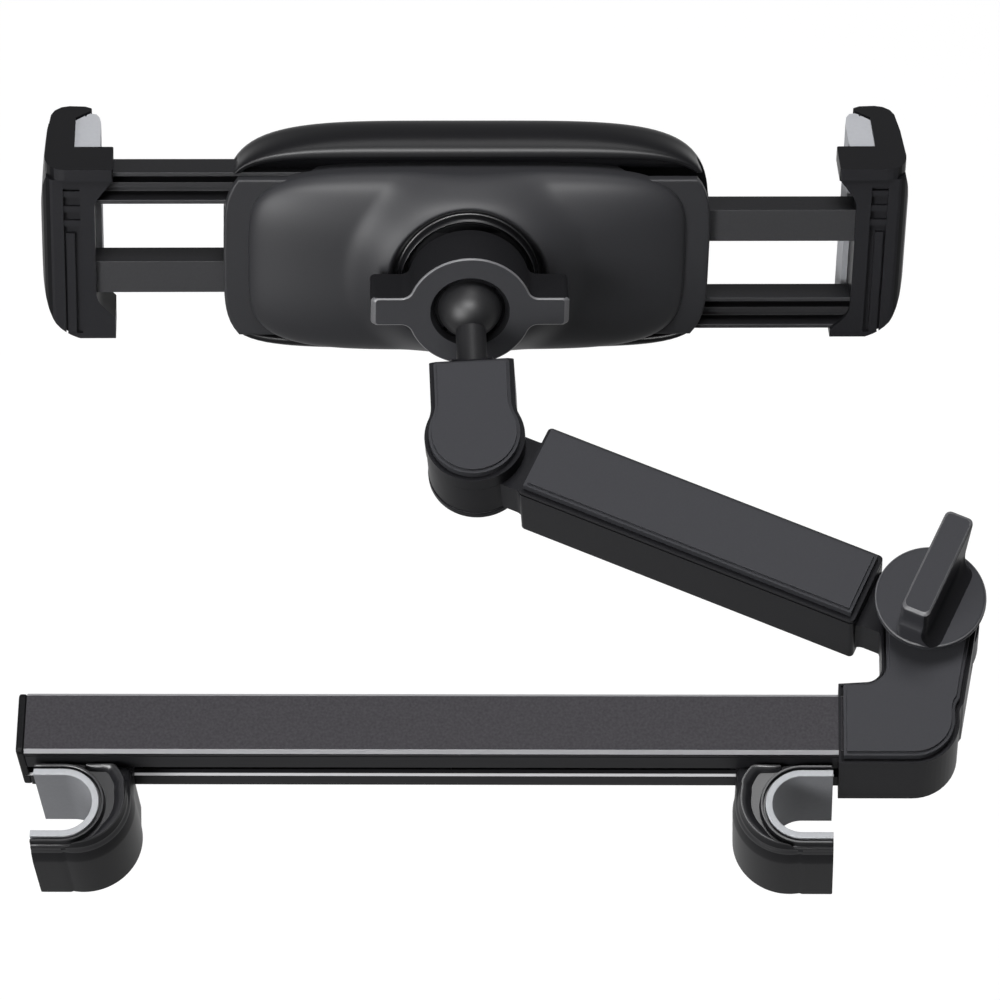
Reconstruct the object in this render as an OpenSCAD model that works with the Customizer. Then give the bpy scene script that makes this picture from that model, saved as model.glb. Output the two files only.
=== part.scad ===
// Tablet mount for the back of a car seat: a sprung rail that hooks between the two
// headrest posts, a folding arm, and a ball-jointed holder with two sliding jaws.
// Origin: the axis of the left headrest post, at half the height of the hooks.
// +X runs along the rail to the right, +Y points to the rear passenger's tablet side, +Z is up.

/* [Headrest posts] */
// Distance between the axes of the two headrest posts
post_spacing = 185.5; // [180:0.5:190]
// Inner radius of a hook's soft liner
grip_r = 7.5; // [6.5:0.1:8]
// Thickness of the soft liner
liner_t = 1.8; // [1.2:0.1:2.2]

/* [Hooks] */
// Height of a hook
hook_h = 22.6; // [20:0.2:26]
// How far the jaws of a hook reach past the post axis
hook_reach = 7.6; // [6:0.1:9]
// Wall of the lower jaw, outside the liner
hook_wall = 4.7; // [4:0.1:7]
// Distance from the post axis to the bend of the hook's outside
hook_back = 17.6; // [15:0.1:19]
// Distance from the post axis to the side of the hook where it meets the rail
hook_neck = 15.6; // [12:0.1:17]
// Depth of the step round the hook's face
hook_step = 1; // [0.4:0.1:1.6]
// Length of the shoe that slides in the rail
shoe_len = 24; // [16:1:30]

/* [Rail] */
// Depth of the rail from front to back
rail_w = 16.5; // [15:0.1:20]
// Height of the rail
rail_h = 20; // [18:0.1:22]
// Rail that shows left of the left post axis
rail_left = 12; // [10:0.5:16]
// Distance from the right post axis to the bracket
rail_right = 9; // [8.5:0.1:12]
// Rail that is held inside the bracket
rail_tuck = 14; // [8:0.5:17]
// Wall of the rail
rail_wall = 1.8; // [1.2:0.1:2.4]
// Chamfer along the rail's upper edges
rail_chamfer = 0.9; // [0.4:0.1:1.4]
// Height of the slot in the rail's front
slot_h = 5.3; // [4:0.1:6.5]
// Height of the slot's lower edge above the rail's underside
slot_z = 5.5; // [4:0.1:8]
// Thickness of the rail's end cap
cap_t = 2; // [1:0.1:3]

/* [Hook springs] */
// Outer diameter of a hook spring
spring_d = 9; // [6:0.1:11]
// Wire of a hook spring
spring_wire = 1.2; // [0.8:0.1:1.6]
// Turns of a hook spring
spring_turns = 11; // [6:1:14]
// Length of the block that the springs push against
stop_len = 8; // [5:1:14]

/* [Bracket] */
// Height of the bracket and of both hinge stacks
stack_h = 25; // [24:0.5:30]
// How far the bracket's top stands above the rail
bracket_rise = 3.8; // [2.5:0.1:5]
// Bracket in front of the rail
bracket_front = 3; // [2:0.1:4.5]
// Bracket behind the rail
bracket_behind = 2.3; // [1.6:0.1:4]
// Length of the bracket's block along the rail
bracket_len = 30.2; // [27:0.1:34]
// Radius of the bracket's two ears
ear_r = 12.2; // [11.5:0.1:12.8]
// Distance from the bracket's left edge to the hinge axis
hinge_dx = 23.1; // [20:0.1:26]
// Distance from the rail's back to the hinge axis
hinge_dy = 21.8; // [20:0.1:26]
// Radius of the bracket's outer corner
corner_r = 11.5; // [8:0.1:14]
// Height of the raised cover on the bracket, the arm and the link
cover_h = 3; // [2:0.1:4]
// How far each raised cover stands in from the edge below it
cover_in = 1.2; // [0.6:0.1:2]

/* [Hinges] */
// Outer radius of the hinge knuckles and ears
knuckle_r = 13; // [12:0.1:14.5]
// Thickness of the upper ear of each hinge, with its cover
ear_top = 8; // [6.5:0.1:9]
// Thickness of the lower ear of each hinge
ear_low = 3.2; // [2.6:0.1:5]
// Across the corners of the clamp screw's hexagon nut
nut_corners = 11.2; // [10:0.1:12]
// Radius of the clamp screw and of the elbow pin
pivot_r = 3; // [2.5:0.1:4]
// Radial running clearance of the pivots
run_gap = 0.06; // [0.03:0.01:0.1]
// Gap between a knuckle and each ear
ear_gap = 0.5; // [0.3:0.05:0.8]

/* [Arm] */
// Distance between the two hinge axes of the arm
arm_len = 126.4; // [115:0.2:140]
// Width of the arm
arm_w = 20; // [17:0.1:23]
// Distance from each hinge axis to the arm's box
arm_neck = 16.6; // [15.6:0.1:19]
// Width of the neck between box and knuckle
neck_w = 15; // [11:0.1:17]
// How far the arm's underside stands above the underside of the hinges
arm_lift = 1; // [0.6:0.1:4]
// Direction of the arm in plan, from the bracket's hinge to the elbow
arm_angle = 156.5; // [140:0.5:165]

/* [Link] */
// Distance from the elbow axis to the ball's centre
link_len = 43.5; // [40:0.1:50]
// Distance from the elbow axis to the link's far end
link_end = 24; // [20:0.1:27]
// Width of the link
link_w = 22; // [19:0.1:24]
// Direction of the link in plan
link_angle = 93.5; // [80:0.5:110]

/* [Knob] */
// Radius of the knob's disc
knob_r = 14; // [12:0.1:16]
// Thickness of the knob's disc
knob_t = 2.4; // [2:0.1:5]
// Height of the knob's disc above the bracket
knob_lift = 4.6; // [3:0.1:6]
// Length of the knob's wing on its short side
wing_short = 13.2; // [11:0.1:14]
// Length of the knob's wing on its long side
wing_long = 18.3; // [15:0.1:20]
// Width of the knob's wing
wing_w = 6.8; // [5:0.1:9]
// Height of the knob's wing above the disc
wing_h = 12.6; // [9:0.1:15]
// Direction of the knob's wing in plan
wing_angle = 66; // [0:1:180]

/* [Ball joint] */
// Diameter of the ball
ball_d = 17; // [15:0.1:17.4]
// Radius of the ball's neck
neck_r = 4; // [2.8:0.1:4.2]
// Radius of the boss that holds the ball's neck
neck_boss_r = 5.6; // [5:0.1:6.5]
// Length of the ball's neck inside the link
neck_grip = 8; // [6:0.5:9]
// Radius of the friction seat behind the ball
seat_r = 9.3; // [9:0.1:10]
// Outer radius of the collar round the ball
collar_r = 12.6; // [12:0.1:13]
// Outer radius of the lock nut
nut_r = 16.5; // [15.5:0.1:17]
// Thickness of the lock nut
nut_t = 15; // [13:0.1:15.4]
// Thickness of the lock nut's wings
nut_wing_t = 12.4; // [8:0.1:12.8]
// Distance from the ball's centre to the nut's face
nut_face = 3.2; // [2:0.1:4]
// Radius of the mouth in the nut's face
nut_mouth_r = 9.3; // [9.1:0.1:10.2]
// Distance from the nut's axis to a wing's tip
nut_wing = 26; // [22:0.1:28]
// Width of a nut wing
nut_wing_w = 8.4; // [6:0.1:11]
// Lean of the holder from upright
lean = 28.4; // [0:0.1:35]
// Turn of the holder about the vertical
yaw = 4.8; // [-10:0.1:10]
// Turn of the holder about its own normal
spin = -5; // [-10:0.1:10]

/* [Holder body] */
// Half the width of the holder's body
body_a = 64.5; // [60:0.5:70]
// Half the height of the front housing
body_b = 35.6; // [33:0.1:38]
// Distance from the body's ends to the rear cover's dome
dome_in = 6.5; // [5.5:0.1:10]
// Half the height of the rear cover's dome
dome_b = 28.4; // [27:0.1:30]
// Half the height of the rear cover's flat ends
flange_b = 24.3; // [23:0.1:26]
// Height of the dome above the rear cover's flat ends
dome_h = 8; // [5:0.1:10]
// Height of the raised rim round the ball joint, above the dome
hump_h = 4.6; // [2:0.1:6]
// Radius of the rim round the ball joint
hump_r = 20.5; // [19:0.1:22]
// Width of the slope from the rim down to the dome
hump_run = 11; // [8:0.5:16]
// Depth of the crater inside the rim
crater_h = 2.2; // [1:0.1:3]
// Distance from the ball's centre back to the rear cover's flat ends
flange_back = 23.2; // [22:0.1:26]
// Thickness of the rear cover's flat ends
flange_t = 2; // [1.5:0.1:2.5]
// Depth of the front housing
front_t = 12; // [11:0.1:15]
// Thickness of the soft front pad
pad_t = 1.2; // [0.8:0.1:2]

/* [Slide bars] */
// Height of a slide bar
bar_h = 9.8; // [9:0.1:10]
// Depth of a slide bar
bar_t = 7; // [6:0.1:7.2]
// Distance from the middle of the holder to the inner bars' middle
bar_in = 7.9; // [7.9:0.1:8]
// Distance between the middles of two neighbouring bars
bar_pitch = 11.8; // [11:0.1:12]
// Height of the slides' middle above the ball's axis
slide_v = 0.7; // [0:0.1:1]
// How far each bar reaches past the middle to the other side
bar_tail = 30; // [20:1:32]
// How far each jaw can slide inwards from where it is drawn
jaw_travel_in = 28; // [20:0.5:28]
// Sliding gap round the bars
bar_gap = 0.3; // [0.2:0.05:0.4]
// Module of the rack and pinion teeth
tooth_m = 0.8; // [0.8:0.01:0.82]
// Number of pinion teeth
pinion_teeth = 10; // [10:1:10]

/* [Jaws] */
// Distance from the holder's middle to a pad's face
jaw_open = 99.3; // [92:0.1:108]
// How far the middle between the pads stands right of the holder's middle
jaw_off = 2.4; // [-3:0.1:3]
// Height of a jaw
jaw_h = 53; // [51:0.2:56]
// Depth of a jaw
jaw_t = 32.8; // [30:0.1:36]
// Depth of a jaw's foot, which the bars enter
foot_t = 11.8; // [11:0.1:13]
// How far the foot reaches in from the pad's face
foot_in = 3.5; // [2:0.1:5]
// Width of the jaw at its widest, from the pad's face
jaw_w = 15.8; // [14:0.1:19]
// Thickness of a jaw pad
jaw_pad_t = 6.8; // [5:0.1:8]
// Depth of the step between a jaw and the block at its upper end
jaw_step = 1.2; // [0.4:0.1:2]
// Height of the block at a jaw's upper end
jaw_block = 3.4; // [2:0.1:5]

/* [Hidden] */
$fn = 48;

black = [0.15, 0.15, 0.16];
soft_black = [0.11, 0.11, 0.12];
anodised = [0.27, 0.26, 0.28];
steel = [0.62, 0.63, 0.65];
grey_rubber = [0.5, 0.51, 0.53];
pale_rubber = [0.72, 0.73, 0.76];

// Clearance of pieces that are pushed into or laid on one another
seat_gap = 0.1;
// Clearance of pieces that slide on one another
slide_gap = 0.3;
// Small extra length of a cutting tool past the face that it cuts
cut = 1;

// Levels of the rail, the hinge stacks and the hooks
rail_y0 = grip_r + liner_t + 2.7;
rail_y1 = rail_y0 + rail_w;
stack_z1 = hook_h / 2 + 7.7;
stack_z0 = stack_z1 - stack_h;
rail_z1 = stack_z1 - bracket_rise;
rail_z0 = rail_z1 - rail_h;
rail_x0 = -rail_left;
bracket_x0 = post_spacing + rail_right;
rail_x1 = bracket_x0 + rail_tuck;
slot_z0 = rail_z0 + slot_z;
slot_z1 = slot_z0 + slot_h;
cover_z = stack_z1 - cover_h;

// Knuckle between the ears of both hinges
knuckle_z0 = stack_z0 + ear_low + ear_gap;
knuckle_z1 = stack_z1 - ear_top - ear_gap;

// Hinge axes and the ball's centre in plan
base_axis = [bracket_x0 + hinge_dx, rail_y1 + hinge_dy];
elbow_axis = base_axis + arm_len * [cos(arm_angle), sin(arm_angle)];
ball_axis = elbow_axis + link_len * [cos(link_angle), sin(link_angle)];
ball_z = (stack_z0 + stack_z1) / 2;
ball_r = ball_d / 2;

// Slider inside the rail
shoe_x0 = rail_x0 + cap_t + 4.3;
shoe_y0 = rail_y0 + rail_wall + slide_gap;
shoe_y1 = rail_y1 - rail_wall - slide_gap;
shoe_z0 = rail_z0 + rail_wall + slide_gap;
shoe_z1 = rail_z1 - rail_wall - slide_gap;
stop_x = post_spacing / 2;

// Holder, measured along its own normal from the ball's centre: positive is towards the ball's neck
flange_w = -flange_back;
inside_w = flange_w - flange_t;
front_w = inside_w - front_t;
bar_w1 = inside_w - bar_gap;
bar_w0 = bar_w1 - bar_t;
bar_mid_w = (bar_w0 + bar_w1) / 2;
bar_out = bar_in + bar_pitch;
foot_x = jaw_open - foot_in;
bar_end = jaw_open + 8;
foot_w1 = bar_w1 + 1.9;
jaw_w0 = foot_w1 - jaw_t;

// Squareness of the holder's outlines, and the dome's rings inside and outside its rim
dome_a = body_a - dome_in;
dome_n = 4.5;
crater_rings = 6;
dome_rings = 13;

// Seat, collar and nut round the ball, on the same normal
seat_w0 = -ball_r - 3.5;
seat_w1 = -3;
collar_w1 = 1.4;
collar_flange_w = -ball_r - 6;
collar_flange_r = collar_r + 3.4;
thread_gap = 0.25;

// Pinion between the two inner bars
pitch_r = tooth_m * pinion_teeth / 2;
press_angle = 25;
tooth_top = 0.68 * tooth_m;
tooth_root = 0.95 * tooth_m;
backlash = 0.24;
rack_x1 = jaw_travel_in + 6;

module box(low, high) {
  translate(low) cube(high - low);
}

// A closed outline moved to one level and given a height
module slab(z0, z1) {
  translate([0, 0, z0]) linear_extrude(z1 - z0) children();
}

// Rounds the hollow corners of an outline
module fill_in(r) {
  offset(-r) offset(r) children();
}

// Rounds the outward corners of an outline
module round_off(r) {
  offset(r) offset(-r) children();
}

// Superellipse of half axes a and b: the body of the holder is drawn with it
function superellipse(a, b, n, count) = [
  for (i = [0:count - 1])
    let (t = 360 * i / count, c = cos(t), s = sin(t),
         rho = 1 / pow(pow(abs(c) / a, n) + pow(abs(s) / b, n), 1 / n))
    [rho * c, rho * s]
];

// Places of the three assemblies
module at_base() {
  translate([base_axis.x, base_axis.y, 0]) rotate(arm_angle) children();
}

module at_elbow() {
  translate([elbow_axis.x, elbow_axis.y, 0]) rotate(link_angle) children();
}

module at_ball() {
  translate([ball_axis.x, ball_axis.y, ball_z]) children();
}

module in_holder() {
  at_ball() rotate([90 - lean, 0, yaw]) rotate(spin) children();
}

module in_slides() {
  in_holder() translate([0, slide_v, 0]) children();
}

// Rail

module rail_outline(inset) {
  c = rail_chamfer;
  offset(delta = -inset)
    polygon([
      [rail_y0, rail_z0], [rail_y1, rail_z0], [rail_y1, rail_z1 - c], [rail_y1 - c, rail_z1],
      [rail_y0 + c, rail_z1], [rail_y0, rail_z1 - c]
    ]);
}

// Turns an outline drawn in Y and Z into a length along X
module along_x(x0, x1) {
  translate([x0, 0, 0]) rotate([90, 0, 90]) linear_extrude(x1 - x0) children();
}

module rail() {
  groove_z = rail_z1 - 2.8;
  groove_d = 0.4;
  color(anodised)
    difference() {
      along_x(rail_x0 + cap_t + seat_gap, rail_x1) rail_outline(0);
      translate([-cut, 0, 0]) along_x(rail_x0, rail_x1 + 2 * cut) rail_outline(rail_wall);
      box([rail_x0, rail_y0 - cut, slot_z0], [bracket_x0, rail_y0 + rail_wall + cut, slot_z1]);
      box([rail_x0, rail_y0 - cut, groove_z], [rail_x1 + cut, rail_y0 + groove_d, groove_z + 0.6]);
    }
}

module rail_end_cap() {
  plug = 4;
  color(black) {
    along_x(rail_x0, rail_x0 + cap_t) rail_outline(0);
    along_x(rail_x0 + cap_t - 0.01, rail_x0 + cap_t + plug) rail_outline(rail_wall + seat_gap);
  }
}

module spring_stop() {
  color(black)
    difference() {
      along_x(stop_x - stop_len / 2, stop_x + stop_len / 2) rail_outline(rail_wall + seat_gap);
      box(
        [stop_x - stop_len, rail_y0, slot_z0 - cut],
        [stop_x + stop_len, rail_y0 + rail_wall + 1.5, slot_z1 + cut]
      );
    }
}

// Compression spring: a round wire wound along X
module coil(length, turns, coil_r, wire_r, sides, steps) {
  rings = turns * steps;
  pitch = (length - 2 * wire_r) / turns;
  points = [
    for (i = [0:rings]) let (t = 360 * i / steps)
      for (j = [0:sides - 1]) let (s = 360 * j / sides, r = coil_r + wire_r * cos(s))
        [wire_r + pitch * t / 360 + wire_r * sin(s), r * cos(t), r * sin(t)]
  ];
  walls = [
    for (i = [0:rings - 1], j = [0:sides - 1]) let (k = (j + 1) % sides)
      [i * sides + j, (i + 1) * sides + j, (i + 1) * sides + k, i * sides + k]
  ];
  first = [[for (j = [0:sides - 1]) j]];
  last = [[for (j = [sides - 1:-1:0]) rings * sides + j]];
  polyhedron(points, concat(walls, first, last), convexity = 10);
}

module hook_spring() {
  color(steel)
    translate([shoe_x0 + shoe_len + seat_gap, (rail_y0 + rail_y1) / 2, (rail_z0 + rail_z1) / 2])
      coil(
        stop_x - stop_len / 2 - shoe_x0 - shoe_len - 2 * seat_gap, spring_turns,
        (spring_d - spring_wire) / 2, spring_wire / 2, 6, 14
      );
}

module left_hook_spring() {
  hook_spring();
}

module right_hook_spring() {
  to_right() hook_spring();
}

// The right hand pieces of the rail mirror the left hand ones about the middle of the posts
module to_right() {
  translate([post_spacing, 0, 0]) mirror([1, 0, 0]) children();
}

// Hooks

liner_r = grip_r + liner_t;
hook_front = liner_r + hook_wall;
hook_top_y = rail_y0 - slide_gap;
bridge_x0 = 5;

// The bend's centre lies a little behind the post axis
bend_x = 3.2;
bend_r = hook_back - bend_x;

// Half round opening that runs out at the hook's mouth
module mouth(r, reach) {
  circle(r);
  translate([-reach, -r]) square([reach, 2 * r]);
}

// Outside of a hook seen from above, reaching past its mouth and past the rail's front
module hook_plan(inset) {
  offset(delta = -inset)
    hull() {
      translate([bend_x, bend_r - hook_front]) circle(bend_r, $fn = 72);
      translate([-3 * hook_reach, -hook_front]) square([1, 2 * hook_front]);
      translate([hook_neck - 1, hook_top_y]) square([1, 3 * cut]);
    }
}

// Levels of the hook's outside, from below, and how far each stands in: it leans in towards its top
hook_levels = [[0, 0.7], [0.8, 0], [13, 0.2], [18, 1], [20.4, 1.9], [hook_h - hook_step, 3.2]];

module hook_form() {
  intersection() {
    hull()
      for (l = hook_levels)
        slab(l[0] - hook_h / 2, l[0] - hook_h / 2 + 0.01) hook_plan(l[1]);
    box([-hook_reach, -2 * hook_front, -hook_h], [2 * hook_back, hook_top_y, hook_h]);
  }
}

// Ring round the liner's opening, between two distances from it
module liner_ring(inner, outer) {
  difference() {
    mouth(liner_r + seat_gap + outer, hook_reach);
    mouth(liner_r + seat_gap + inner, 2 * hook_reach);
  }
}

module hook() {
  z1 = hook_h / 2;
  color(black)
    difference() {
      union() {
        hook_form();
        // Thin ridge round the liner
        slab(z1 - hook_step - 0.01, z1 - 0.1)
          intersection() {
            liner_ring(0.35, 1.35);
            translate([-hook_reach + 0.6, -30]) square([60, 30 + hook_top_y]);
          }
        // Crescent that stands up along the bend and runs out at the lower jaw
        slab(z1 - hook_step - 0.01, z1 + 0.1)
          difference() {
            translate([bend_x, bend_r - hook_front]) circle(bend_r - 3.3, $fn = 72);
            translate([0.7, 1.3]) circle(bend_r - 3.2, $fn = 72);
            translate([-30, -30]) square([30 + 0.5, 60]);
            translate([-30, hook_top_y]) square([60, 30]);
          }
        // Bridge that passes through the slot of the rail
        box([bridge_x0, 0, slot_z0 + slide_gap], [hook_neck, shoe_y0, slot_z1 - slide_gap]);
      }
      slab(-hook_h, hook_h) mouth(liner_r + seat_gap, 2 * hook_reach);
    }
}

module left_hook() {
  hook();
}

module right_hook() {
  to_right() hook();
}

module hook_liner() {
  color(grey_rubber)
    difference() {
      slab(-hook_h / 2, hook_h / 2)
        intersection() {
          mouth(liner_r, 3 * hook_reach);
          translate([-hook_reach, -30]) square(60);
        }
      translate([0, 0, -hook_h]) cylinder(r = grip_r, h = 2 * hook_h);
      box([-2 * hook_reach, -grip_r, -hook_h], [0, grip_r, hook_h]);
    }
}

module left_hook_liner() {
  hook_liner();
}

module right_hook_liner() {
  to_right() hook_liner();
}

module slider() {
  color(soft_black)
    difference() {
      box([shoe_x0, shoe_y0, shoe_z0], [shoe_x0 + shoe_len, shoe_y1, shoe_z1]);
      // Hollow under the shoe that saves weight
      box(
        [shoe_x0 + 2, shoe_y0 + 4, shoe_z0 - cut],
        [shoe_x0 + shoe_len - 6, shoe_y1 + cut, shoe_z0 + 6]
      );
    }
}

module left_slider() {
  slider();
}

module right_slider() {
  to_right() slider();
}

// Bracket

module bracket_outline() {
  fill_in(4)
    union() {
      round_corner();
      hull() {
        translate([base_axis.x, base_axis.y]) circle(ear_r);
        translate([base_axis.x - ear_r, rail_y1 - 3]) square([2 * ear_r - 4, 1]);
      }
    }
}

// Block that the rail enters, with one large rounded corner
module round_corner() {
  x1 = bracket_x0 + bracket_len;
  y0 = rail_y0 - bracket_front;
  y1 = rail_y1 + bracket_behind;
  hull() {
    translate([bracket_x0, y0]) square([1, y1 - y0]);
    translate([x1 - corner_r, y0 + corner_r]) circle(corner_r);
    translate([x1 - 1, y1 - 1]) square(1);
  }
}

module end_bracket() {
  color(black)
    difference() {
      slab(stack_z0, cover_z) bracket_outline();
      // Space between the ears for the arm's knuckle
      translate([base_axis.x, base_axis.y, knuckle_z0 - ear_gap])
        cylinder(r = knuckle_r + 1, h = knuckle_z1 - knuckle_z0 + 2 * ear_gap, $fn = 72);
      // Groove round the raised cover
      slab(cover_z - 0.8, cover_z + cut)
        difference() {
          offset(-cover_in + 0.6) bracket_outline();
          offset(-cover_in) bracket_outline();
        }
      // Pocket of the rail
      along_x(bracket_x0 - cut, rail_x1 + seat_gap) offset(delta = seat_gap) rail_outline(0);
      // Bore of the clamp screw and seat of its nut
      translate([base_axis.x, base_axis.y, stack_z0 - cut])
        cylinder(r = pivot_r + run_gap, h = stack_h + 2 * cut);
      translate([base_axis.x, base_axis.y, stack_z0 - cut])
        cylinder(d = nut_corners + 2 * seat_gap, h = cut + 2, $fn = 6);
    }
}

module bracket_cover() {
  color(black)
    difference() {
      union() {
        slab(cover_z, stack_z1 - 1) offset(-cover_in) bracket_outline();
        slab(stack_z1 - 1.01, stack_z1) offset(-cover_in - 0.8) bracket_outline();
      }
      translate([base_axis.x, base_axis.y, cover_z - cut])
        cylinder(r = pivot_r + run_gap, h = cover_h + 2 * cut);
    }
}

// Small screws in the underside of the bracket
module bracket_screws() {
  y = (rail_y0 + rail_y1) / 2;
  color(steel)
    for (x = [bracket_x0 + 5, bracket_x0 + 12])
      translate([x, y, stack_z0 - 0.8]) {
        cylinder(r = 2.2, h = 0.8);
      }
}

module hinge_nut() {
  color(steel)
    translate([base_axis.x, base_axis.y, stack_z0 - 0.6])
      difference() {
        cylinder(d = nut_corners, h = 2.5, $fn = 6);
        translate([0, 0, -cut]) cylinder(r = pivot_r + run_gap, h = 5);
      }
}

// Knob that clamps the bracket's hinge

module clamp_knob() {
  disc_z0 = stack_z1 + knob_lift;
  disc_z1 = disc_z0 + knob_t;
  edge = 0.8;
  color(black)
    difference() {
      translate([base_axis.x, base_axis.y, 0]) {
        translate([0, 0, stack_z1 + 0.2]) cylinder(r = knob_r - 5, h = knob_lift);
        rotate_extrude($fn = 96)
          polygon([
            [0, disc_z0], [knob_r - edge, disc_z0], [knob_r, disc_z0 + edge],
            [knob_r, disc_z1 - edge], [knob_r - edge, disc_z1], [0, disc_z1]
          ]);
        rotate(wing_angle) wing(disc_z1, edge);
      }
      translate([base_axis.x, base_axis.y, stack_z1 - cut])
        cylinder(r = pivot_r + seat_gap, h = cut + 4);
    }
}

// Wing with a flared root, longer on one side than on the other
module wing(z, edge) {
  top = z + wing_h;
  root = wing_w / 2 + 1.6;
  hull() {
    translate([-wing_short + 2.4, -root, z - 0.01]) cube([2 * wing_short - 4.8, 2 * root, 0.02]);
    translate([-wing_short + 1.8, -wing_w / 2, z + 2.2]) cube([2 * wing_short - 3.6, wing_w, 0.02]);
  }
  rotate([90, 0, 0])
    translate([0, 0, -wing_w / 2])
      linear_extrude(wing_w)
        polygon([
          [-wing_short + 1.6, z - 0.01], [wing_short - 2, z - 0.01], [wing_short, z + 3], [wing_long, top - 2],
          [wing_long - 0.6, top - edge], [wing_long - 1.6, top], [-wing_short + 5.4, top],
          [-wing_short + 3.6, top - 1.2], [-wing_short + 3, top - 3.8], [-wing_short + 0.6, top - 5.2],
          [-wing_short, top - 7]
        ]);
}

module clamp_screw() {
  color(steel)
    translate([base_axis.x, base_axis.y, 0]) {
      translate([0, 0, stack_z0 + 0.3]) cylinder(r = pivot_r, h = stack_z1 + 3.4 - stack_z0 - 0.3);
    }
}

// Arm, drawn along +X from the bracket's hinge

module arm_box_outline(inset) {
  offset(delta = -inset)
    round_off(1.2)
      translate([arm_neck, -arm_w / 2]) square([arm_len - 2 * arm_neck, arm_w]);
}

module arm_neck_outline() {
  for (x = [0, arm_len]) translate([x, 0]) circle(knuckle_r - 0.2, $fn = 72);
  fill_in(3)
    union() {
      translate([0, -neck_w / 2]) square([arm_len, neck_w]);
      for (x = [arm_neck + 0.1, arm_len - arm_neck - 2.1]) translate([x, -arm_w / 2 + 1.6]) square([2, arm_w - 3.2]);
    }
}

module arm_body() {
  z0 = stack_z0 + arm_lift;
  color(black)
    at_base()
      difference() {
        union() {
          slab(z0, cover_z) arm_box_outline(0);
          slab(knuckle_z0, knuckle_z1) arm_neck_outline();
        }
        for (x = [0, arm_len])
          translate([x, 0, stack_z0]) cylinder(r = pivot_r + run_gap, h = stack_h);
        // Groove that runs round under the raised cover
        difference() {
          slab(cover_z - 1.9, cover_z - 1.1) offset(delta = 3) arm_box_outline(0);
          slab(cover_z - 2.5, cover_z) arm_box_outline(0.5);
        }
        // The box is open underneath, with a cross rib
        for (x = [arm_neck + 3, arm_len / 2 + 1])
          box([x, -arm_w / 2 + 2.4, z0 - cut], [x + arm_len / 2 - arm_neck - 4, arm_w / 2 - 2.4, cover_z - 3]);
      }
}

module arm_cover() {
  color(black)
    at_base() {
      slab(cover_z, stack_z1 - 0.8) arm_box_outline(cover_in);
      slab(stack_z1 - 0.81, stack_z1) arm_box_outline(cover_in + 0.8);
    }
}

// Screws that hold the arm's cover from below
module arm_screws() {
  color(steel)
    at_base()
      for (x = [arm_neck + 12, arm_len - arm_neck - 12])
        translate([x, 0, cover_z - 3 - 2]) cylinder(r = 2.4, h = 2);
}

// Link, drawn along +X from the elbow

module link_outline(inset, end) {
  offset(delta = -inset)
    round_off(2) fill_in(8)
      union() {
        circle(knuckle_r, $fn = 72);
        translate([0, -link_w / 2]) square([end, link_w]);
      }
}

module link_body() {
  bevel = 1.4;
  slope = 57;
  color(black)
    at_elbow()
      difference() {
        union() {
          slab(stack_z0 + ear_low, cover_z) link_outline(0, link_end);
          slab(stack_z0 + ear_low, cover_z - bevel) link_outline(0.8, link_end + 1);
          // Boss that the ball's neck is pressed into
          translate([link_end - 1, 0, ball_z]) rotate([0, 90, 0]) cylinder(r = neck_boss_r, h = 4.4);
        }
        // Space for the arm's knuckle and its neck
        translate([0, 0, knuckle_z0 - ear_gap])
          cylinder(r = knuckle_r + 0.6, h = knuckle_z1 - knuckle_z0 + 2 * ear_gap, $fn = 72);
        translate([0, 0, stack_z0]) cylinder(r = pivot_r + seat_gap, h = stack_h);
        // The far end slopes down towards the ball's neck
        translate([link_end - 2.2, -link_w, cover_z]) rotate([0, slope, 0]) translate([-cut, 0, 0]) cube([20, 2 * link_w, 20]);
        // Bore of the ball's neck
        translate([link_end - neck_grip - seat_gap, 0, ball_z])
          rotate([0, 90, 0]) cylinder(r = neck_r + run_gap, h = 20);
      }
}

module link_cover() {
  color(black)
    at_elbow() {
      slab(cover_z, stack_z1 - 0.8) link_outline(cover_in, link_end - 2);
      slab(stack_z1 - 0.81, stack_z1) link_outline(cover_in + 0.8, link_end - 2);
    }
}

module link_cap() {
  edge = 0.8;
  color(black)
    at_elbow()
      difference() {
        union() {
          slab(stack_z0 + edge, stack_z0 + ear_low) link_outline(0, link_end);
          slab(stack_z0, stack_z0 + edge + 0.01) link_outline(edge, link_end);
        }
        translate([0, 0, stack_z0 - cut]) cylinder(r = pivot_r + seat_gap, h = stack_h);
      }
}

module elbow_pin() {
  color(steel)
    at_elbow() {
      translate([0, 0, stack_z0 + 0.2]) cylinder(r = pivot_r, h = cover_z - stack_z0 - 0.2);
    }
}

// Ball joint

module ball_stud() {
  color(soft_black) {
    at_ball() sphere(ball_r, $fn = 64);
    at_elbow()
      translate([link_end - neck_grip, 0, ball_z])
        rotate([0, 90, 0]) cylinder(r = neck_r, h = link_len - link_end + neck_grip - ball_r / 2);
  }
}

// Friction seat that presses on the back of the ball
module ball_seat() {
  color(pale_rubber)
    in_holder()
      difference() {
        translate([0, 0, seat_w0]) cylinder(r = seat_r, h = seat_w1 - seat_w0);
        sphere(ball_r + run_gap, $fn = 64);
      }
}

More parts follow.
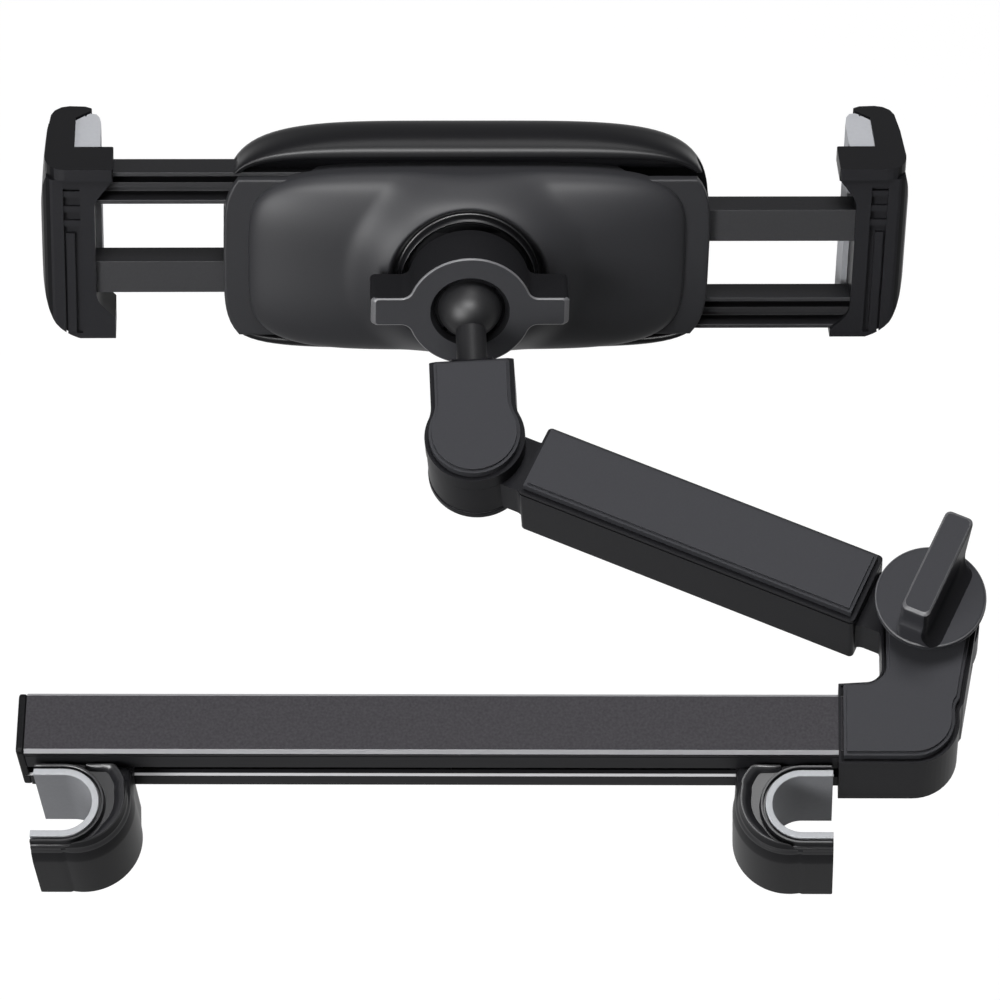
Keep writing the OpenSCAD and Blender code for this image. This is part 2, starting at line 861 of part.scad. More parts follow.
// Split collar round the ball, part of what the nut squeezes
module socket_collar() {
  color(soft_black)
    in_holder()
      difference() {
        union() {
          translate([0, 0, inside_w + seat_gap])
            cylinder(r = collar_r, h = collar_w1 - inside_w - seat_gap, $fn = 72);
          translate([0, 0, inside_w + seat_gap])
            cylinder(r = collar_flange_r, h = collar_flange_w - inside_w - seat_gap, $fn = 72);
        }
        sphere(ball_r + run_gap, $fn = 64);
        translate([0, 0, seat_w0 - run_gap]) cylinder(r = seat_r + run_gap, h = seat_w1 + run_gap - seat_w0);
        for (t = [45, 135]) rotate(t) box([-collar_r - cut, -0.7, seat_w1], [collar_r + cut, 0.7, collar_w1 + cut]);
      }
}

module nut_outline() {
  fill_in(3)
    union() {
      circle(nut_r, $fn = 72);
      round_off(1.2) translate([-nut_wing, -nut_wing_w / 2]) square([2 * nut_wing, nut_wing_w]);
    }
}

module lock_nut() {
  w0 = nut_face - nut_t;
  edge = 0.5;
  color(black)
    in_holder()
      difference() {
        union() {
          slab(nut_face - nut_wing_t, nut_face - edge) nut_outline();
          slab(w0, nut_face - nut_wing_t + cut) circle(nut_r - 0.4, $fn = 72);
          slab(nut_face - edge - 0.01, nut_face) offset(delta = -edge) nut_outline();
        }
        translate([0, 0, w0 - cut]) cylinder(r = collar_r + thread_gap, h = collar_w1 + slide_gap - w0 + cut, $fn = 72);
        cylinder(r = nut_mouth_r, h = nut_face + cut, $fn = 72);
        translate([0, 0, nut_face - 1]) cylinder(r1 = nut_mouth_r, r2 = nut_mouth_r + 1.2, h = 1.6, $fn = 72);
      }
}

// Holder body

// Rises smoothly from 0 to 1 as x goes from 0 to 1
function ease(x) = let (t = min(1, max(0, x))) t * t * (3 - 2 * t);

// Height of the rear cover above its flat ends: a dome with square shoulders, a raised
// rim round the ball joint that blends into it, and a shallow crater inside the rim
function dome(x, y) =
  let (
    s = pow(pow(abs(x) / dome_a, dome_n) + pow(abs(y) / dome_b, dome_n), 1 / dome_n),
    r = norm([x, y])
  )
  dome_h * sqrt(max(0, 1 - pow(min(s, 1), 3)))
  + hump_h * ease((hump_r + hump_run - r) / hump_run) - crater_h * ease((hump_r - r) / 3.6);

// Rings of the dome, from the collar out to the cover's edge
function dome_ring(k, outline) =
  k <= crater_rings
    ? let (r = collar_r + 1 + (hump_r + 1 - collar_r) * k / crater_rings)
      [for (p = outline) r * p / norm(p)]
    : let (b = sin(90 * (k - crater_rings) / dome_rings))
      [for (p = outline) (1 - b) * (hump_r + 2) * p / norm(p) + b * p];

// Solid under the dome, with straight sides down to the flat ends
module dome_solid(low, count) {
  outline = superellipse(dome_a, dome_b, dome_n, count);
  rings = crater_rings + dome_rings;
  top = [for (k = [0:rings]) for (q = dome_ring(k, outline)) [q.x, q.y, dome(q.x, q.y)]];
  base = [for (p = outline) [p.x, p.y, -low]];
  last = (rings + 1) * count;
  sides = [
    for (k = [0:rings - 1], i = [0:count - 1]) let (j = (i + 1) % count)
      each [
        [k * count + i, (k + 1) * count + j, (k + 1) * count + i],
        [k * count + i, k * count + j, (k + 1) * count + j]
      ]
  ];
  skirt = [
    for (i = [0:count - 1]) let (j = (i + 1) % count)
      [rings * count + i, rings * count + j, last + j, last + i]
  ];
  crown = [[for (i = [count - 1:-1:0]) i]];
  floor_face = [[for (i = [0:count - 1]) last + i]];
  polyhedron(concat(top, base), concat(sides, skirt, crown, floor_face), convexity = 6);
}

module rear_cover() {
  color(black)
    in_holder()
      difference() {
        union() {
          translate([0, 0, flange_w]) dome_solid(flange_t, 96);
          slab(inside_w, flange_w)
            intersection() {
              polygon(superellipse(body_a, body_b - 2.6, dome_n, 72));
              square([3 * body_a, 2 * flange_b], center = true);
            }
        }
        translate([0, 0, inside_w - cut]) cylinder(r = collar_r + seat_gap, h = 40, $fn = 72);
        translate([0, 0, inside_w - cut])
          cylinder(r = collar_flange_r + seat_gap, h = collar_flange_w + seat_gap - inside_w + cut, $fn = 72);
      }
}

// Levels and insets of the front housing's rolled rim, from the back to the front
rim_levels = [[0, 1.6, 5.4], [1.6, 0.9, 3.2], [4.4, 0.2, 1.4], [8.6, 0, 0], [10.8, 0.6, 0.5], [13, 2.4, 2.2]];

module front_form() {
  hull()
    for (l = rim_levels)
      slab(inside_w + 1 - l[0], inside_w + 1.01 - l[0])
        polygon(superellipse(body_a - l[1], body_b - l[2], dome_n, 64));
}

// Runs of the four bars through the housing
module bar_runs() {
  for (v = [-bar_out, -bar_in, bar_in, bar_out])
    box(
      [-body_a - 5, slide_v + v - bar_h / 2 - bar_gap, bar_w0 - bar_gap],
      [body_a + 5, slide_v + v + bar_h / 2 + bar_gap, inside_w + cut]
    );
}

// Places of the housing's screws, in from its corners
screw_in = [18.5, 10.5];
screw_places = [for (x = [-1, 1], y = [-1, 1]) [x * (body_a - screw_in.x), y * (body_b - screw_in.y)]];

module front_housing() {
  color(soft_black)
    in_holder()
      difference() {
        front_form();
        // Recess for the rear cover
        slab(inside_w, flange_w + 5) {
          polygon(superellipse(dome_a + slide_gap, dome_b + slide_gap, dome_n, 72));
          square([3 * body_a, 2 * flange_b + 0.4], center = true);
        }
        bar_runs();
        // Room for the pinion and its axle
        translate([0, slide_v, bar_w0 - bar_gap]) cylinder(r = pitch_r + tooth_top + 0.5, h = 20);
        translate([0, slide_v, bar_w0 - 3]) cylinder(r = 1.5 + seat_gap, h = 20);
        for (p = screw_places)
          translate([p.x, p.y, front_w - cut]) cylinder(r = 2.8, h = cut + 2.5);
      }
}

module front_pad() {
  color(grey_rubber)
    in_holder()
      slab(front_w - pad_t, front_w) polygon(superellipse(body_a - 5, body_b - 4.5, dome_n, 64));
}

module housing_screws() {
  color(steel)
    in_holder()
      for (p = screw_places)
        translate([p.x, p.y, front_w + 0.4]) cylinder(r = 2.6, h = 2.1);
}

// Rack and pinion

module pinion_axle() {
  color(steel)
    in_slides()
      translate([0, 0, bar_w0 - 2.9]) cylinder(r = 1.5, h = inside_w - bar_w0 + 2.9);
}

function involute(phi) = (tan(phi) - phi * PI / 180) * 180 / PI;

module pinion_outline() {
  base_r = pitch_r * cos(press_angle);
  tip_r = pitch_r + tooth_top;
  root_r = pitch_r - tooth_root;
  half = 90 / pinion_teeth - backlash / 4 / pitch_r * 180 / PI;
  steps = 4;
  flank = [
    for (i = [0:steps])
      let (rho = base_r + (tip_r - base_r) * i / steps, phi = acos(base_r / rho))
        [rho, half + involute(press_angle) - involute(phi)]
  ];
  low = [[root_r, flank[0][1]]];
  side = concat(low, flank);
  polygon([
    for (k = [0:pinion_teeth - 1])
      let (mid = 90 + 360 * k / pinion_teeth)
        each concat(
          [for (p = side) p[0] * [cos(mid - p[1]), sin(mid - p[1])]],
          [for (i = [len(side) - 1:-1:0]) side[i][0] * [cos(mid + side[i][1]), sin(mid + side[i][1])]]
        )
  ]);
}

module jaw_pinion() {
  color(pale_rubber)
    in_slides()
      difference() {
        slab(bar_w0 + 0.4, bar_w1 - 0.2) pinion_outline();
        translate([0, 0, bar_w0 - cut]) cylinder(r = 1.5 + run_gap, h = bar_t + 2 * cut);
      }
}

// Spaces of a rack whose teeth point down at the pitch line's height
module rack_spaces() {
  pitch = PI * tooth_m;
  wide = pitch / 4 + backlash / 4;
  flare = tan(press_angle);
  for (k = [-floor(bar_tail / pitch):floor(rack_x1 / pitch)])
    translate([k * pitch, pitch_r])
      polygon([
        [-wide - cut * flare, -cut], [wide + cut * flare, -cut],
        [wide - tooth_root * flare, tooth_root], [tooth_root * flare - wide, tooth_root]
      ]);
}

// One slide bar: an open channel with a rib along its floor. Toothed bars carry the rack
module bar(middle, end, back_open, toothed) {
  wall = 1.3;
  thick = toothed ? 3.2 : wall;
  v0 = middle - bar_h / 2;
  v1 = middle + bar_h / 2;
  floor_t = 2.4;
  low = back_open ? bar_w0 + floor_t : bar_w0 - cut;
  high = back_open ? bar_w1 + cut : bar_w1 - floor_t;
  rib_w = 1.8;
  mid = (v0 + thick + v1 - wall) / 2;
  difference() {
    box([-bar_tail, v0, bar_w0], [end, v1, bar_w1]);
    difference() {
      box([-bar_tail - cut, v0 + thick, low], [end + cut, v1 - wall, high]);
      box(
        [-bar_tail - 2 * cut, mid - rib_w / 2, back_open ? low - cut : low],
        [end + 2 * cut, mid + rib_w / 2, back_open ? bar_w1 - 1.6 : high + cut]
      );
    }
    if (toothed) {
      box([-bar_tail - cut, v0 - cut, bar_w0 - cut], [rack_x1, pitch_r - tooth_top, bar_w1 + cut]);
      slab(bar_w0 - cut, bar_w1 + cut) rack_spaces();
    }
  }
}

module right_upper_bar() {
  color(anodised) in_slides() bar(bar_in, bar_end + jaw_off, false, true);
}

module right_lower_bar() {
  color(anodised) in_slides() bar(-bar_out, bar_end + jaw_off, true, false);
}

// The left side is the right side turned half round about the holder's normal
module left_upper_bar() {
  color(anodised) in_slides() rotate(180) bar(-bar_out, bar_end - jaw_off, true, false);
}

module left_lower_bar() {
  color(anodised) in_slides() rotate(180) bar(bar_in, bar_end - jaw_off, false, true);
}

// Jaws

jaw_half = jaw_h / 2;
wall_u = jaw_open + jaw_pad_t;
outer_u = jaw_open + jaw_w;
foot_w0 = foot_w1 - foot_t;
screw_u = jaw_open + 2;

// Lip at a jaw's tip: how far it reaches over the pad's end, and its thickness
lip_in = 4.4;
lip_t = 2.6;

// Section across the holder: foot, wall with a rounded back, and lip over the pad's end
module jaw_section() {
  back = [5.4, 7];
  round_off(0.6)
    polygon(concat(
      [[foot_x, foot_w0], [foot_x, foot_w1]],
      [for (a = [0:15:90]) [outer_u - back.x * (1 - sin(a)), foot_w1 - back.y * (1 - cos(a))]],
      [
        [outer_u - 0.4, jaw_w0 + 13], [outer_u - 1.2, jaw_w0 + 4.6], [outer_u - 2.2, jaw_w0 + 2.2],
        [outer_u - 4, jaw_w0 + 0.6], [outer_u - 6.4, jaw_w0], [wall_u - lip_in + 2, jaw_w0 + 0.3],
        [wall_u - lip_in, jaw_w0 + 1.4], [wall_u - lip_in + 0.6, jaw_w0 + lip_t], [wall_u, jaw_w0 + 6],
        [wall_u, foot_w0]
      ]
    ));
}

// Outline seen from behind: the foot is waisted between its two ends, low_end is the lower one's height
module jaw_face(low_end) {
  bulge = [28, jaw_half + 4];
  difference() {
    intersection() {
      translate([foot_x, -jaw_half]) square([60, jaw_h]);
      translate([outer_u - bulge.x, 2.5]) polygon(superellipse(bulge.x, bulge.y, 4, 120));
    }
    hull() {
      translate([foot_x, jaw_half - jaw_block - 1]) circle(0.5);
      translate([foot_x - 1.2, jaw_half - 12.5]) circle(6.2);
      translate([foot_x - 1.2, low_end + 7.5 - jaw_half]) circle(6.2);
      translate([foot_x, low_end + 0.5 - jaw_half]) circle(0.5);
    }
  }
}

// Length of the jaw's section between two heights, standing in at the outside
module jaw_length(v0, v1, inset) {
  rotate([90, 0, 0])
    translate([0, 0, -v1])
      linear_extrude(v1 - v0)
        intersection() {
          jaw_section();
          translate([-inset, 0]) jaw_section();
        }
}

module jaw(rows, low_end) {
  spine_u = outer_u - 8.3;
  difference() {
    union() {
      intersection() {
        jaw_length(-jaw_half, jaw_half - jaw_block, 0);
        slab(jaw_w0 - cut, foot_w1 - jaw_step / 2) jaw_face(low_end);
      }
      jaw_length(jaw_half - jaw_block - 0.01, jaw_half, jaw_step);
    }
    // Recess with three short ribs and a long spine
    box([spine_u - 2.2, -jaw_half + 1.6, foot_w1 - 1.7], [spine_u + 2.2, jaw_half - 6, foot_w1 + cut]);
    // Seats of the two bars
    for (v = rows)
      box(
        [foot_x - cut, v - bar_h / 2 - seat_gap, bar_w0 - seat_gap],
        [bar_end + seat_gap, v + bar_h / 2 + seat_gap, bar_w1 + seat_gap]
      );
    // Countersinks of the screws that hold the bars
    for (v = rows)
      translate([screw_u, v, foot_w0 - cut]) {
        cylinder(r = 2 + seat_gap, h = cut + 1.4);
        cylinder(r = 1 + seat_gap, h = foot_t);
      }
  }
  box([spine_u - 0.6, -jaw_half + 1.6, foot_w1 - 1.8], [spine_u + 1.6, jaw_half - 20, foot_w1 - 0.8]);
  for (v = [jaw_half - 8, jaw_half - 12.6, jaw_half - 17])
    box([spine_u - 2.3, v - 0.9, foot_w1 - 1.8], [spine_u + 2.3, v + 0.9, foot_w1 - 0.9]);
}

// Firm back and softer front of a pad, both rounded off at the tip
module jaw_pad() {
  tip = jaw_w0 + lip_t + 0.4;
  rotate([90, 0, 0])
    translate([0, 0, -jaw_half + 0.6])
      linear_extrude(jaw_h - 1.2)
        polygon([
          [jaw_open, foot_w0 - 0.01], [wall_u, foot_w0 - 0.01], [wall_u, jaw_w0 + 6.6],
          [wall_u - 0.9, jaw_w0 + 5.6], [wall_u - 2.4, tip + 1.2], [wall_u - 2.7, tip + 1.7], [wall_u - 3, tip + 0.6],
          [wall_u - 3.9, tip], [jaw_open + 1.4, tip + 0.3], [jaw_open + 0.5, tip + 2], [jaw_open, tip + 5]
        ]);
}

// Screws that hold the bars in the foot, under the pad
module jaw_screws() {
  for (v = [bar_in, -bar_out])
    translate([screw_u, v, foot_w0 + 0.2]) {
      cylinder(r = 2, h = 1.1);
      cylinder(r = 1, h = bar_w0 - foot_w0 - 0.2);
    }
}

module to_jaw() {
  translate([jaw_off, 0, 0]) children();
}

module right_jaw() {
  color(black) in_slides() to_jaw() jaw([bar_in, -bar_out], 2.4);
}

module right_jaw_pad() {
  color(pale_rubber) in_slides() to_jaw() jaw_pad();
}

module right_jaw_screws() {
  color(steel) in_slides() to_jaw() jaw_screws();
}

// The left jaw is the mirror image, with its bars in the other two runs
module left_jaw() {
  color(black) in_slides() to_jaw() mirror([1, 0, 0]) jaw([bar_out, -bar_in], 6.8);
}

module left_jaw_pad() {
  color(pale_rubber) in_slides() to_jaw() mirror([1, 0, 0]) jaw_pad();
}

module left_jaw_screws() {
  color(steel) in_slides() to_jaw() rotate(180) jaw_screws();
}

rail();
rail_end_cap();
spring_stop();
left_hook_spring();
right_hook_spring();
end_bracket();
bracket_cover();
bracket_screws();
hinge_nut();
left_hook();
left_hook_liner();
left_slider();
right_hook();
right_hook_liner();
right_slider();
clamp_knob();
clamp_screw();
arm_body();
arm_cover();
arm_screws();
link_body();
link_cover();
link_cap();
elbow_pin();
ball_stud();
ball_seat();
lock_nut();
socket_collar();
rear_cover();
front_housing();
front_pad();
housing_screws();
pinion_axle();
jaw_pinion();
left_jaw();
left_jaw_pad();
left_upper_bar();
left_lower_bar();
left_jaw_screws();
right_jaw();
right_jaw_pad();
right_upper_bar();
right_lower_bar();
right_jaw_screws();
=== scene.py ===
# Headrest tablet mount: a sprung rail between two headrest posts, a folding arm and a
# ball-jointed holder with two sliding jaws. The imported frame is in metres; the points of the
# mouldings made here are in millimetres, and MM takes them to metres.
import math

import bpy
from mathutils import Matrix, Vector


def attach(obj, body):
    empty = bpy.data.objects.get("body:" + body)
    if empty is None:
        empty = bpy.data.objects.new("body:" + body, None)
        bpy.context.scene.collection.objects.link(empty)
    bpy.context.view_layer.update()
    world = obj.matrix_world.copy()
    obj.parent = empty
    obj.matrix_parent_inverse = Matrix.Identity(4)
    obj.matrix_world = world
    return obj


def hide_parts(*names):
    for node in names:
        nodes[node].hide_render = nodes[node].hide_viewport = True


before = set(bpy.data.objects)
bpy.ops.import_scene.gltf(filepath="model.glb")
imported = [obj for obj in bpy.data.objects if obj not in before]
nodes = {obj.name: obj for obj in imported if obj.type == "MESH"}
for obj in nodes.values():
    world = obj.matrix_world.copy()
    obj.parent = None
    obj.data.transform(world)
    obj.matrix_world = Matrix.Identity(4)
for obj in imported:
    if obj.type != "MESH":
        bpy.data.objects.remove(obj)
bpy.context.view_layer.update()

MM = Matrix.Scale(0.001, 4)


# --- Rail ---
# A rectangular aluminium tube, bead blasted and anodised dark, with its long edges cut
# bright after anodising; their pale grey is bare metal plus a painted highlight. Its sides
# and underside are painted darker than its top, a painted shade. The hooks' shoes run
# inside it and look out through a slot, whose lower lip is cut bright as well and drawn as
# a near-white strip, a painted highlight.
def make_finish(name, roughness, specular, dark, light, grain, relief, metallic=0.0,
                stretch=(1, 1, 1)):
    """A finish whose fine grain runs between two tones and raises a slight relief."""
    finish = bpy.data.materials.new(name)
    finish.use_nodes = True
    tree = finish.node_tree
    shader = tree.nodes["Principled BSDF"]
    shader.inputs["Roughness"].default_value = roughness
    shader.inputs["Specular IOR Level"].default_value = specular
    shader.inputs["Metallic"].default_value = metallic
    place = tree.nodes.new("ShaderNodeTexCoord")
    scaled = tree.nodes.new("ShaderNodeMapping")
    scaled.inputs["Scale"].default_value = stretch
    noise = tree.nodes.new("ShaderNodeTexNoise")
    noise.inputs["Scale"].default_value = grain
    noise.inputs["Detail"].default_value = 2
    tree.links.new(place.outputs["Object"], scaled.inputs["Vector"])
    tree.links.new(scaled.outputs["Vector"], noise.inputs["Vector"])
    shades = tree.nodes.new("ShaderNodeMix")
    shades.data_type = "RGBA"
    shades.inputs[6].default_value = (*dark, 1)
    shades.inputs[7].default_value = (*light, 1)
    tree.links.new(noise.outputs["Fac"], shades.inputs[0])
    tree.links.new(shades.outputs[2], shader.inputs["Base Color"])
    bump = tree.nodes.new("ShaderNodeBump")
    bump.inputs["Strength"].default_value = relief
    bump.inputs["Distance"].default_value = 0.0001
    tree.links.new(noise.outputs["Fac"], bump.inputs["Height"])
    tree.links.new(bump.outputs["Normal"], shader.inputs["Normal"])
    return finish


def dress(names, finish):
    """Gives CAD nodes one finish."""
    for name in names:
        mesh = nodes[name].data
        mesh.materials.clear()
        mesh.materials.append(finish)


drawn_along = (0.05, 1, 1)
blasted = make_finish("rail_blasted", 0.5, 0.03, (0.03, 0.0285, 0.0325), (0.068, 0.065, 0.072),
                      1500, 0.3)
# A darker copy of the anodising for all but the top faces, a painted shade.
rail_side_shaded = make_finish("rail_side_painted_shade", 0.4, 0.02, (0.02, 0.02, 0.022), (0.028, 0.028, 0.031),
                         1500, 0.1, stretch=drawn_along)
# Pale grey for the bare cut chamfers, lightened further into a painted highlight.
bare_cut_edge_and_highlight = make_finish("rail_bare_cut_edge_and_highlight", 0.5, 0.06, (0.36, 0.36, 0.375),
                          (0.42, 0.42, 0.437), 700, 0.02, stretch=drawn_along)
dress(["rail"], blasted)
rail_mesh = nodes["rail"].data
rail_mesh.materials.append(bare_cut_edge_and_highlight)
rail_mesh.materials.append(rail_side_shaded)
under_top = 0.014
# Chamfers get the pale copy, a painted highlight; the top faces keep the anodising; the rest get
# the painted shade.
for face in rail_mesh.polygons:
    is_edge = 0.3 < face.normal.z < 0.9 and abs(face.normal.x) < 0.1
    is_top = face.normal.z >= 0.95 and face.center.z >= under_top
    face.material_index = 1 if is_edge else 0 if is_top else 2


def block(low, high):
    """The two loops of a square-cornered block between two of its corners."""
    (x0, y0, z0), (x1, y1, z1) = low, high
    return [[(x0, y0, z), (x1, y0, z), (x1, y1, z), (x0, y1, z)] for z in (z0, z1)]


def loft(loops, place, capped=True, ring=False):
    """Points and faces of a skin through loops of equal length, in a piece's own frame."""
    count = len(loops[0])
    points = [place @ Vector(p) for loop in loops for p in loop]
    faces = []
    rows = len(loops) if ring else len(loops) - 1
    for row in range(rows):
        low, high = row * count, (row + 1) % len(loops) * count
        for i in range(count):
            j = (i + 1) % count
            faces.append((low + i, low + j, high + j, high + i))
    if capped and not ring:
        faces.append(tuple(range(count - 1, -1, -1)))
        faces.append(tuple(range((len(loops) - 1) * count, len(loops) * count)))
    return points, faces


def moulding(name, skins, finish, body, stands_for=(), crease=32):
    """One piece from its skins, with smooth faces and crisp edges where they turn sharply."""
    points, faces = [], []
    for skin_points, skin_faces in skins:
        faces += [tuple(i + len(points) for i in face) for face in skin_faces]
        points += skin_points
    mesh = bpy.data.meshes.new(name)
    mesh.from_pydata(points, [], faces)
    mesh.validate()
    mesh.materials.append(finish)
    for face in mesh.polygons:
        face.use_smooth = True
    mesh.set_sharp_from_angle(angle=math.radians(crease))
    piece = bpy.data.objects.new(name, mesh)
    bpy.context.scene.collection.objects.link(piece)
    even = piece.modifiers.new("even", "WEIGHTED_NORMAL")
    even.keep_sharp = True
    if stands_for:
        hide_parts(*stands_for)
    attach(piece, body)
    return piece


# A near-white strip on the slot's bare cut lip, a painted highlight.
lip_bare_and_highlight = make_finish("rail_lip_bare_and_highlight", 0.45, 0.5, (0.72, 0.72, 0.74), (0.84, 0.84, 0.86),
                         700, 0.02, metallic=0.2, stretch=drawn_along)
lip_left, lip_right = -11.2, 193.5
lip_front, lip_back = 12.0, 12.75
lip_low, lip_high = 0.69, 0.74
lip = block((lip_left, lip_front, lip_low), (lip_right, lip_back, lip_high))
moulding("rail_slot_lip", [loft(lip, MM)], lip_bare_and_highlight, "rail")


# --- End cap, shoes and springs ---
# A black plastic cap is pressed into the rail's left end. Inside, out of sight, two black
# shoes carry the hooks, and two steel springs push them apart from a stop in the middle.
def soften(names, width, segments=2):
    """Rounds the edges of CAD nodes by modifiers; the nodes' own meshes stay."""
    for name in names:
        node = nodes[name]
        if "custom_normal" in node.data.attributes:
            node.data.attributes.remove(node.data.attributes["custom_normal"])
        for polygon in node.data.polygons:
            polygon.use_smooth = True
        weld = node.modifiers.new("weld", "WELD")
        weld.merge_threshold = 1e-6
        flat = node.modifiers.new("flat", "DECIMATE")
        flat.decimate_type = "DISSOLVE"
        flat.angle_limit = math.radians(0.4)
        bevel = node.modifiers.new("bevel", "BEVEL")
        bevel.width = width
        bevel.segments = segments
        bevel.limit_method = "ANGLE"
        bevel.angle_limit = math.radians(28)
        bevel.harden_normals = True
        bevel.use_clamp_overlap = True


end_black = make_finish("end_cap_plastic", 0.4, 0.02, (0.008, 0.008, 0.009),
                        (0.012, 0.012, 0.013), 2000, 0.1)
dress(["rail_end_cap", "spring_stop", "left_slider", "right_slider"], end_black)
soften(["rail_end_cap"], 0.0006)
dark_steel = make_finish("spring_wire", 0.4, 0.5, (0.05, 0.05, 0.052), (0.08, 0.08, 0.082),
                         1500, 0.05, metallic=1.0)
dress(["left_hook_spring", "right_hook_spring"], dark_steel)


# --- Bracket, arm and link ---
# Glass-filled nylon mouldings with a fine matte texture. Each has a raised cover pressed
# on from above, with a narrow step and a shadow line round it. Zinc-plated screws, a pin
# and a hexagon nut hold them together.
cover_nylon = make_finish("cover_nylon", 0.45, 0.02, (0.047, 0.0475, 0.0525),
                          (0.054, 0.0545, 0.0605), 2600, 0.12)
# The bodies get a much darker copy of the covers' nylon, a painted shade for their sides.
body_nylon_painted_shade = make_finish("body_nylon_painted_shade", 0.36, 0.02, (0.013, 0.013, 0.015),
                         (0.017, 0.017, 0.0195), 2600, 0.12)
raised_covers = ["bracket_cover", "arm_cover", "link_cover"]
nylon_bodies = ["end_bracket", "arm_body", "link_body", "link_cap"]
dress(raised_covers, cover_nylon)
dress(nylon_bodies, body_nylon_painted_shade)
soften(nylon_bodies, 0.0006, segments=3)
soften(raised_covers, 0.0005, segments=3)
zinc = make_finish("zinc_steel", 0.35, 0.5, (0.42, 0.42, 0.43), (0.5, 0.5, 0.51), 1500, 0.05,
                   metallic=1.0)
dress(["bracket_screws", "hinge_nut", "clamp_screw", "arm_screws", "elbow_pin"], zinc)


# --- Clamp knob ---
# One nylon moulding, screwed down over the bracket's hinge: a thin disc with a tall wing
# that leans out at its long end, is stepped at its short end and flares into the disc on
# its right.
def rounded_box(x0, x1, half, radius, z):
    """Loop round a box's plan at one height, with rounded corners."""
    corner_steps, least_straight = 5, 0.01
    r = min(radius, half - least_straight, (x1 - x0) / 2 - least_straight)
    corners = [(x1 - r, -half + r, -90), (x1 - r, half - r, 0), (x0 + r, half - r, 90),
               (x0 + r, -half + r, 180)]
    loop = []
    for x, y, start in corners:
        for k in range(corner_steps + 1):
            a = math.radians(start + 90 * k / corner_steps)
            loop.append((x + r * math.cos(a), y + r * math.sin(a), z))
    return loop


def circle(radius, z, count=96):
    turn = 2 * math.pi / count
    return [(radius * math.cos(turn * k), radius * math.sin(turn * k), z) for k in range(count)]


def between(table, x):
    """Straight-line value at x from a table of pairs."""
    for (x0, y0), (x1, y1) in zip(table, table[1:]):
        if x <= x1:
            return y0 + (y1 - y0) * (x - x0) / (x1 - x0)
    return table[-1][1]


knob_place = MM @ Matrix.Translation((217.6, 50.3, 0))
hub_r, hub_low = 8.9, 19.2
disc_low, disc_high, disc_r = 23.6, 26.0, 14.0
disc_edge = [(0.9, disc_low), (0.35, disc_low + 0.2), (0.05, disc_low + 0.6), (0, disc_low + 1),
             (0, disc_high - 0.8), (0.1, disc_high - 0.35), (0.4, disc_high - 0.08),
             (0.8, disc_high), (1.1, disc_high)]
disc = [circle(hub_r, hub_low), circle(hub_r, disc_low)]
disc += [circle(disc_r - inset, z) for inset, z in disc_edge]

wing_height, wing_half, wing_draft, wing_corner = 12.6, 4.1, 0.03, 1.5
flare, flare_height, flare_curve, flare_limit = 3.4, 4.6, 2.2, -13.4
top_round, round_from, round_run = 0.55, 11.9, 0.7
sunk = 0.02
levels = [0, 0.3, 0.7, 1.2, 1.8, 2.5, 3.3, 4.2, 5.2, 5.7, 6.1, 6.4, 7.2, 8.2, 9.0, 9.4, 10.2,
          11.2, 11.7, 12.1, 12.4, 12.55, wing_height]
near_end = [(0, -13.2), (3, -13.3), (5.4, -13.3), (6.4, -12.9), (7.2, -12.2), (8, -11.9),
            (11.4, -11.6), (12.2, -11.2), (wing_height, -10.4)]
far_end = [(0, 11.6), (1.5, 12.0), (4, 13.6), (8, 16.2), (11.4, 18.3), (12.1, 18.3),
           (12.45, 17.9), (wing_height, 17.4)]
wing = []
for h in levels:
    spread = flare * max(0, 1 - h / flare_height) ** flare_curve
    shrink = top_round * max(0, (h - round_from) / round_run) ** 2
    start = max(between(near_end, h) - 0.25 * spread, flare_limit)
    half = wing_half - wing_draft * h - shrink
    plan = rounded_box(start, between(far_end, h), half + spread, wing_corner + 0.5 * spread,
                       disc_high + h - sunk)
    wing.append([(x, y if y < 0 else y * half / (half + spread), z) for x, y, z in plan])

wing_turn = math.radians(66)
knob_black = make_finish("knob_plastic", 0.4, 0.02, (0.045, 0.0455, 0.0505),
                         (0.052, 0.0525, 0.0585), 2600, 0.08)
# A near-black copy of the knob's plastic for the wing's right side, a painted shade.
knob_side_painted_shade = make_finish("knob_side_painted_shade", 0.36, 0.03, (0.01, 0.01, 0.0115), (0.014, 0.014, 0.016),
                        2600, 0.08)
# A lighter copy for the rounded top edges, a painted highlight.
knob_rim_painted_highlight = make_finish("knob_rim_painted_highlight", 0.36, 0.1, (0.1, 0.1, 0.106), (0.13, 0.13, 0.137), 2600, 0.04)
knob_skins = [loft(disc, knob_place),
              loft(wing, knob_place @ Matrix.Rotation(wing_turn, 4, "Z"))]
knob = moulding("clamp_knob_moulding", knob_skins, knob_black, "clamp_knob", ["clamp_knob"])
knob.data.materials.append(knob_side_painted_shade)
knob.data.materials.append(knob_rim_painted_highlight)
wing_right = Vector((math.sin(wing_turn), -math.cos(wing_turn), 0))
wing_top = disc_high + wing_height
# Rounded top edges get the painted highlight; faces towards the wing's right get the painted
# shade.
for face in knob.data.polygons:
    height = face.center.z * 1000
    at_edge = disc_high - 0.5 < height < disc_high or height > wing_top - 0.4
    if 0.2 < face.normal.z < 0.95 and at_edge:
        face.material_index = 2
    elif face.normal.dot(wing_right) > 0.3 and height > disc_high:
        face.material_index = 1


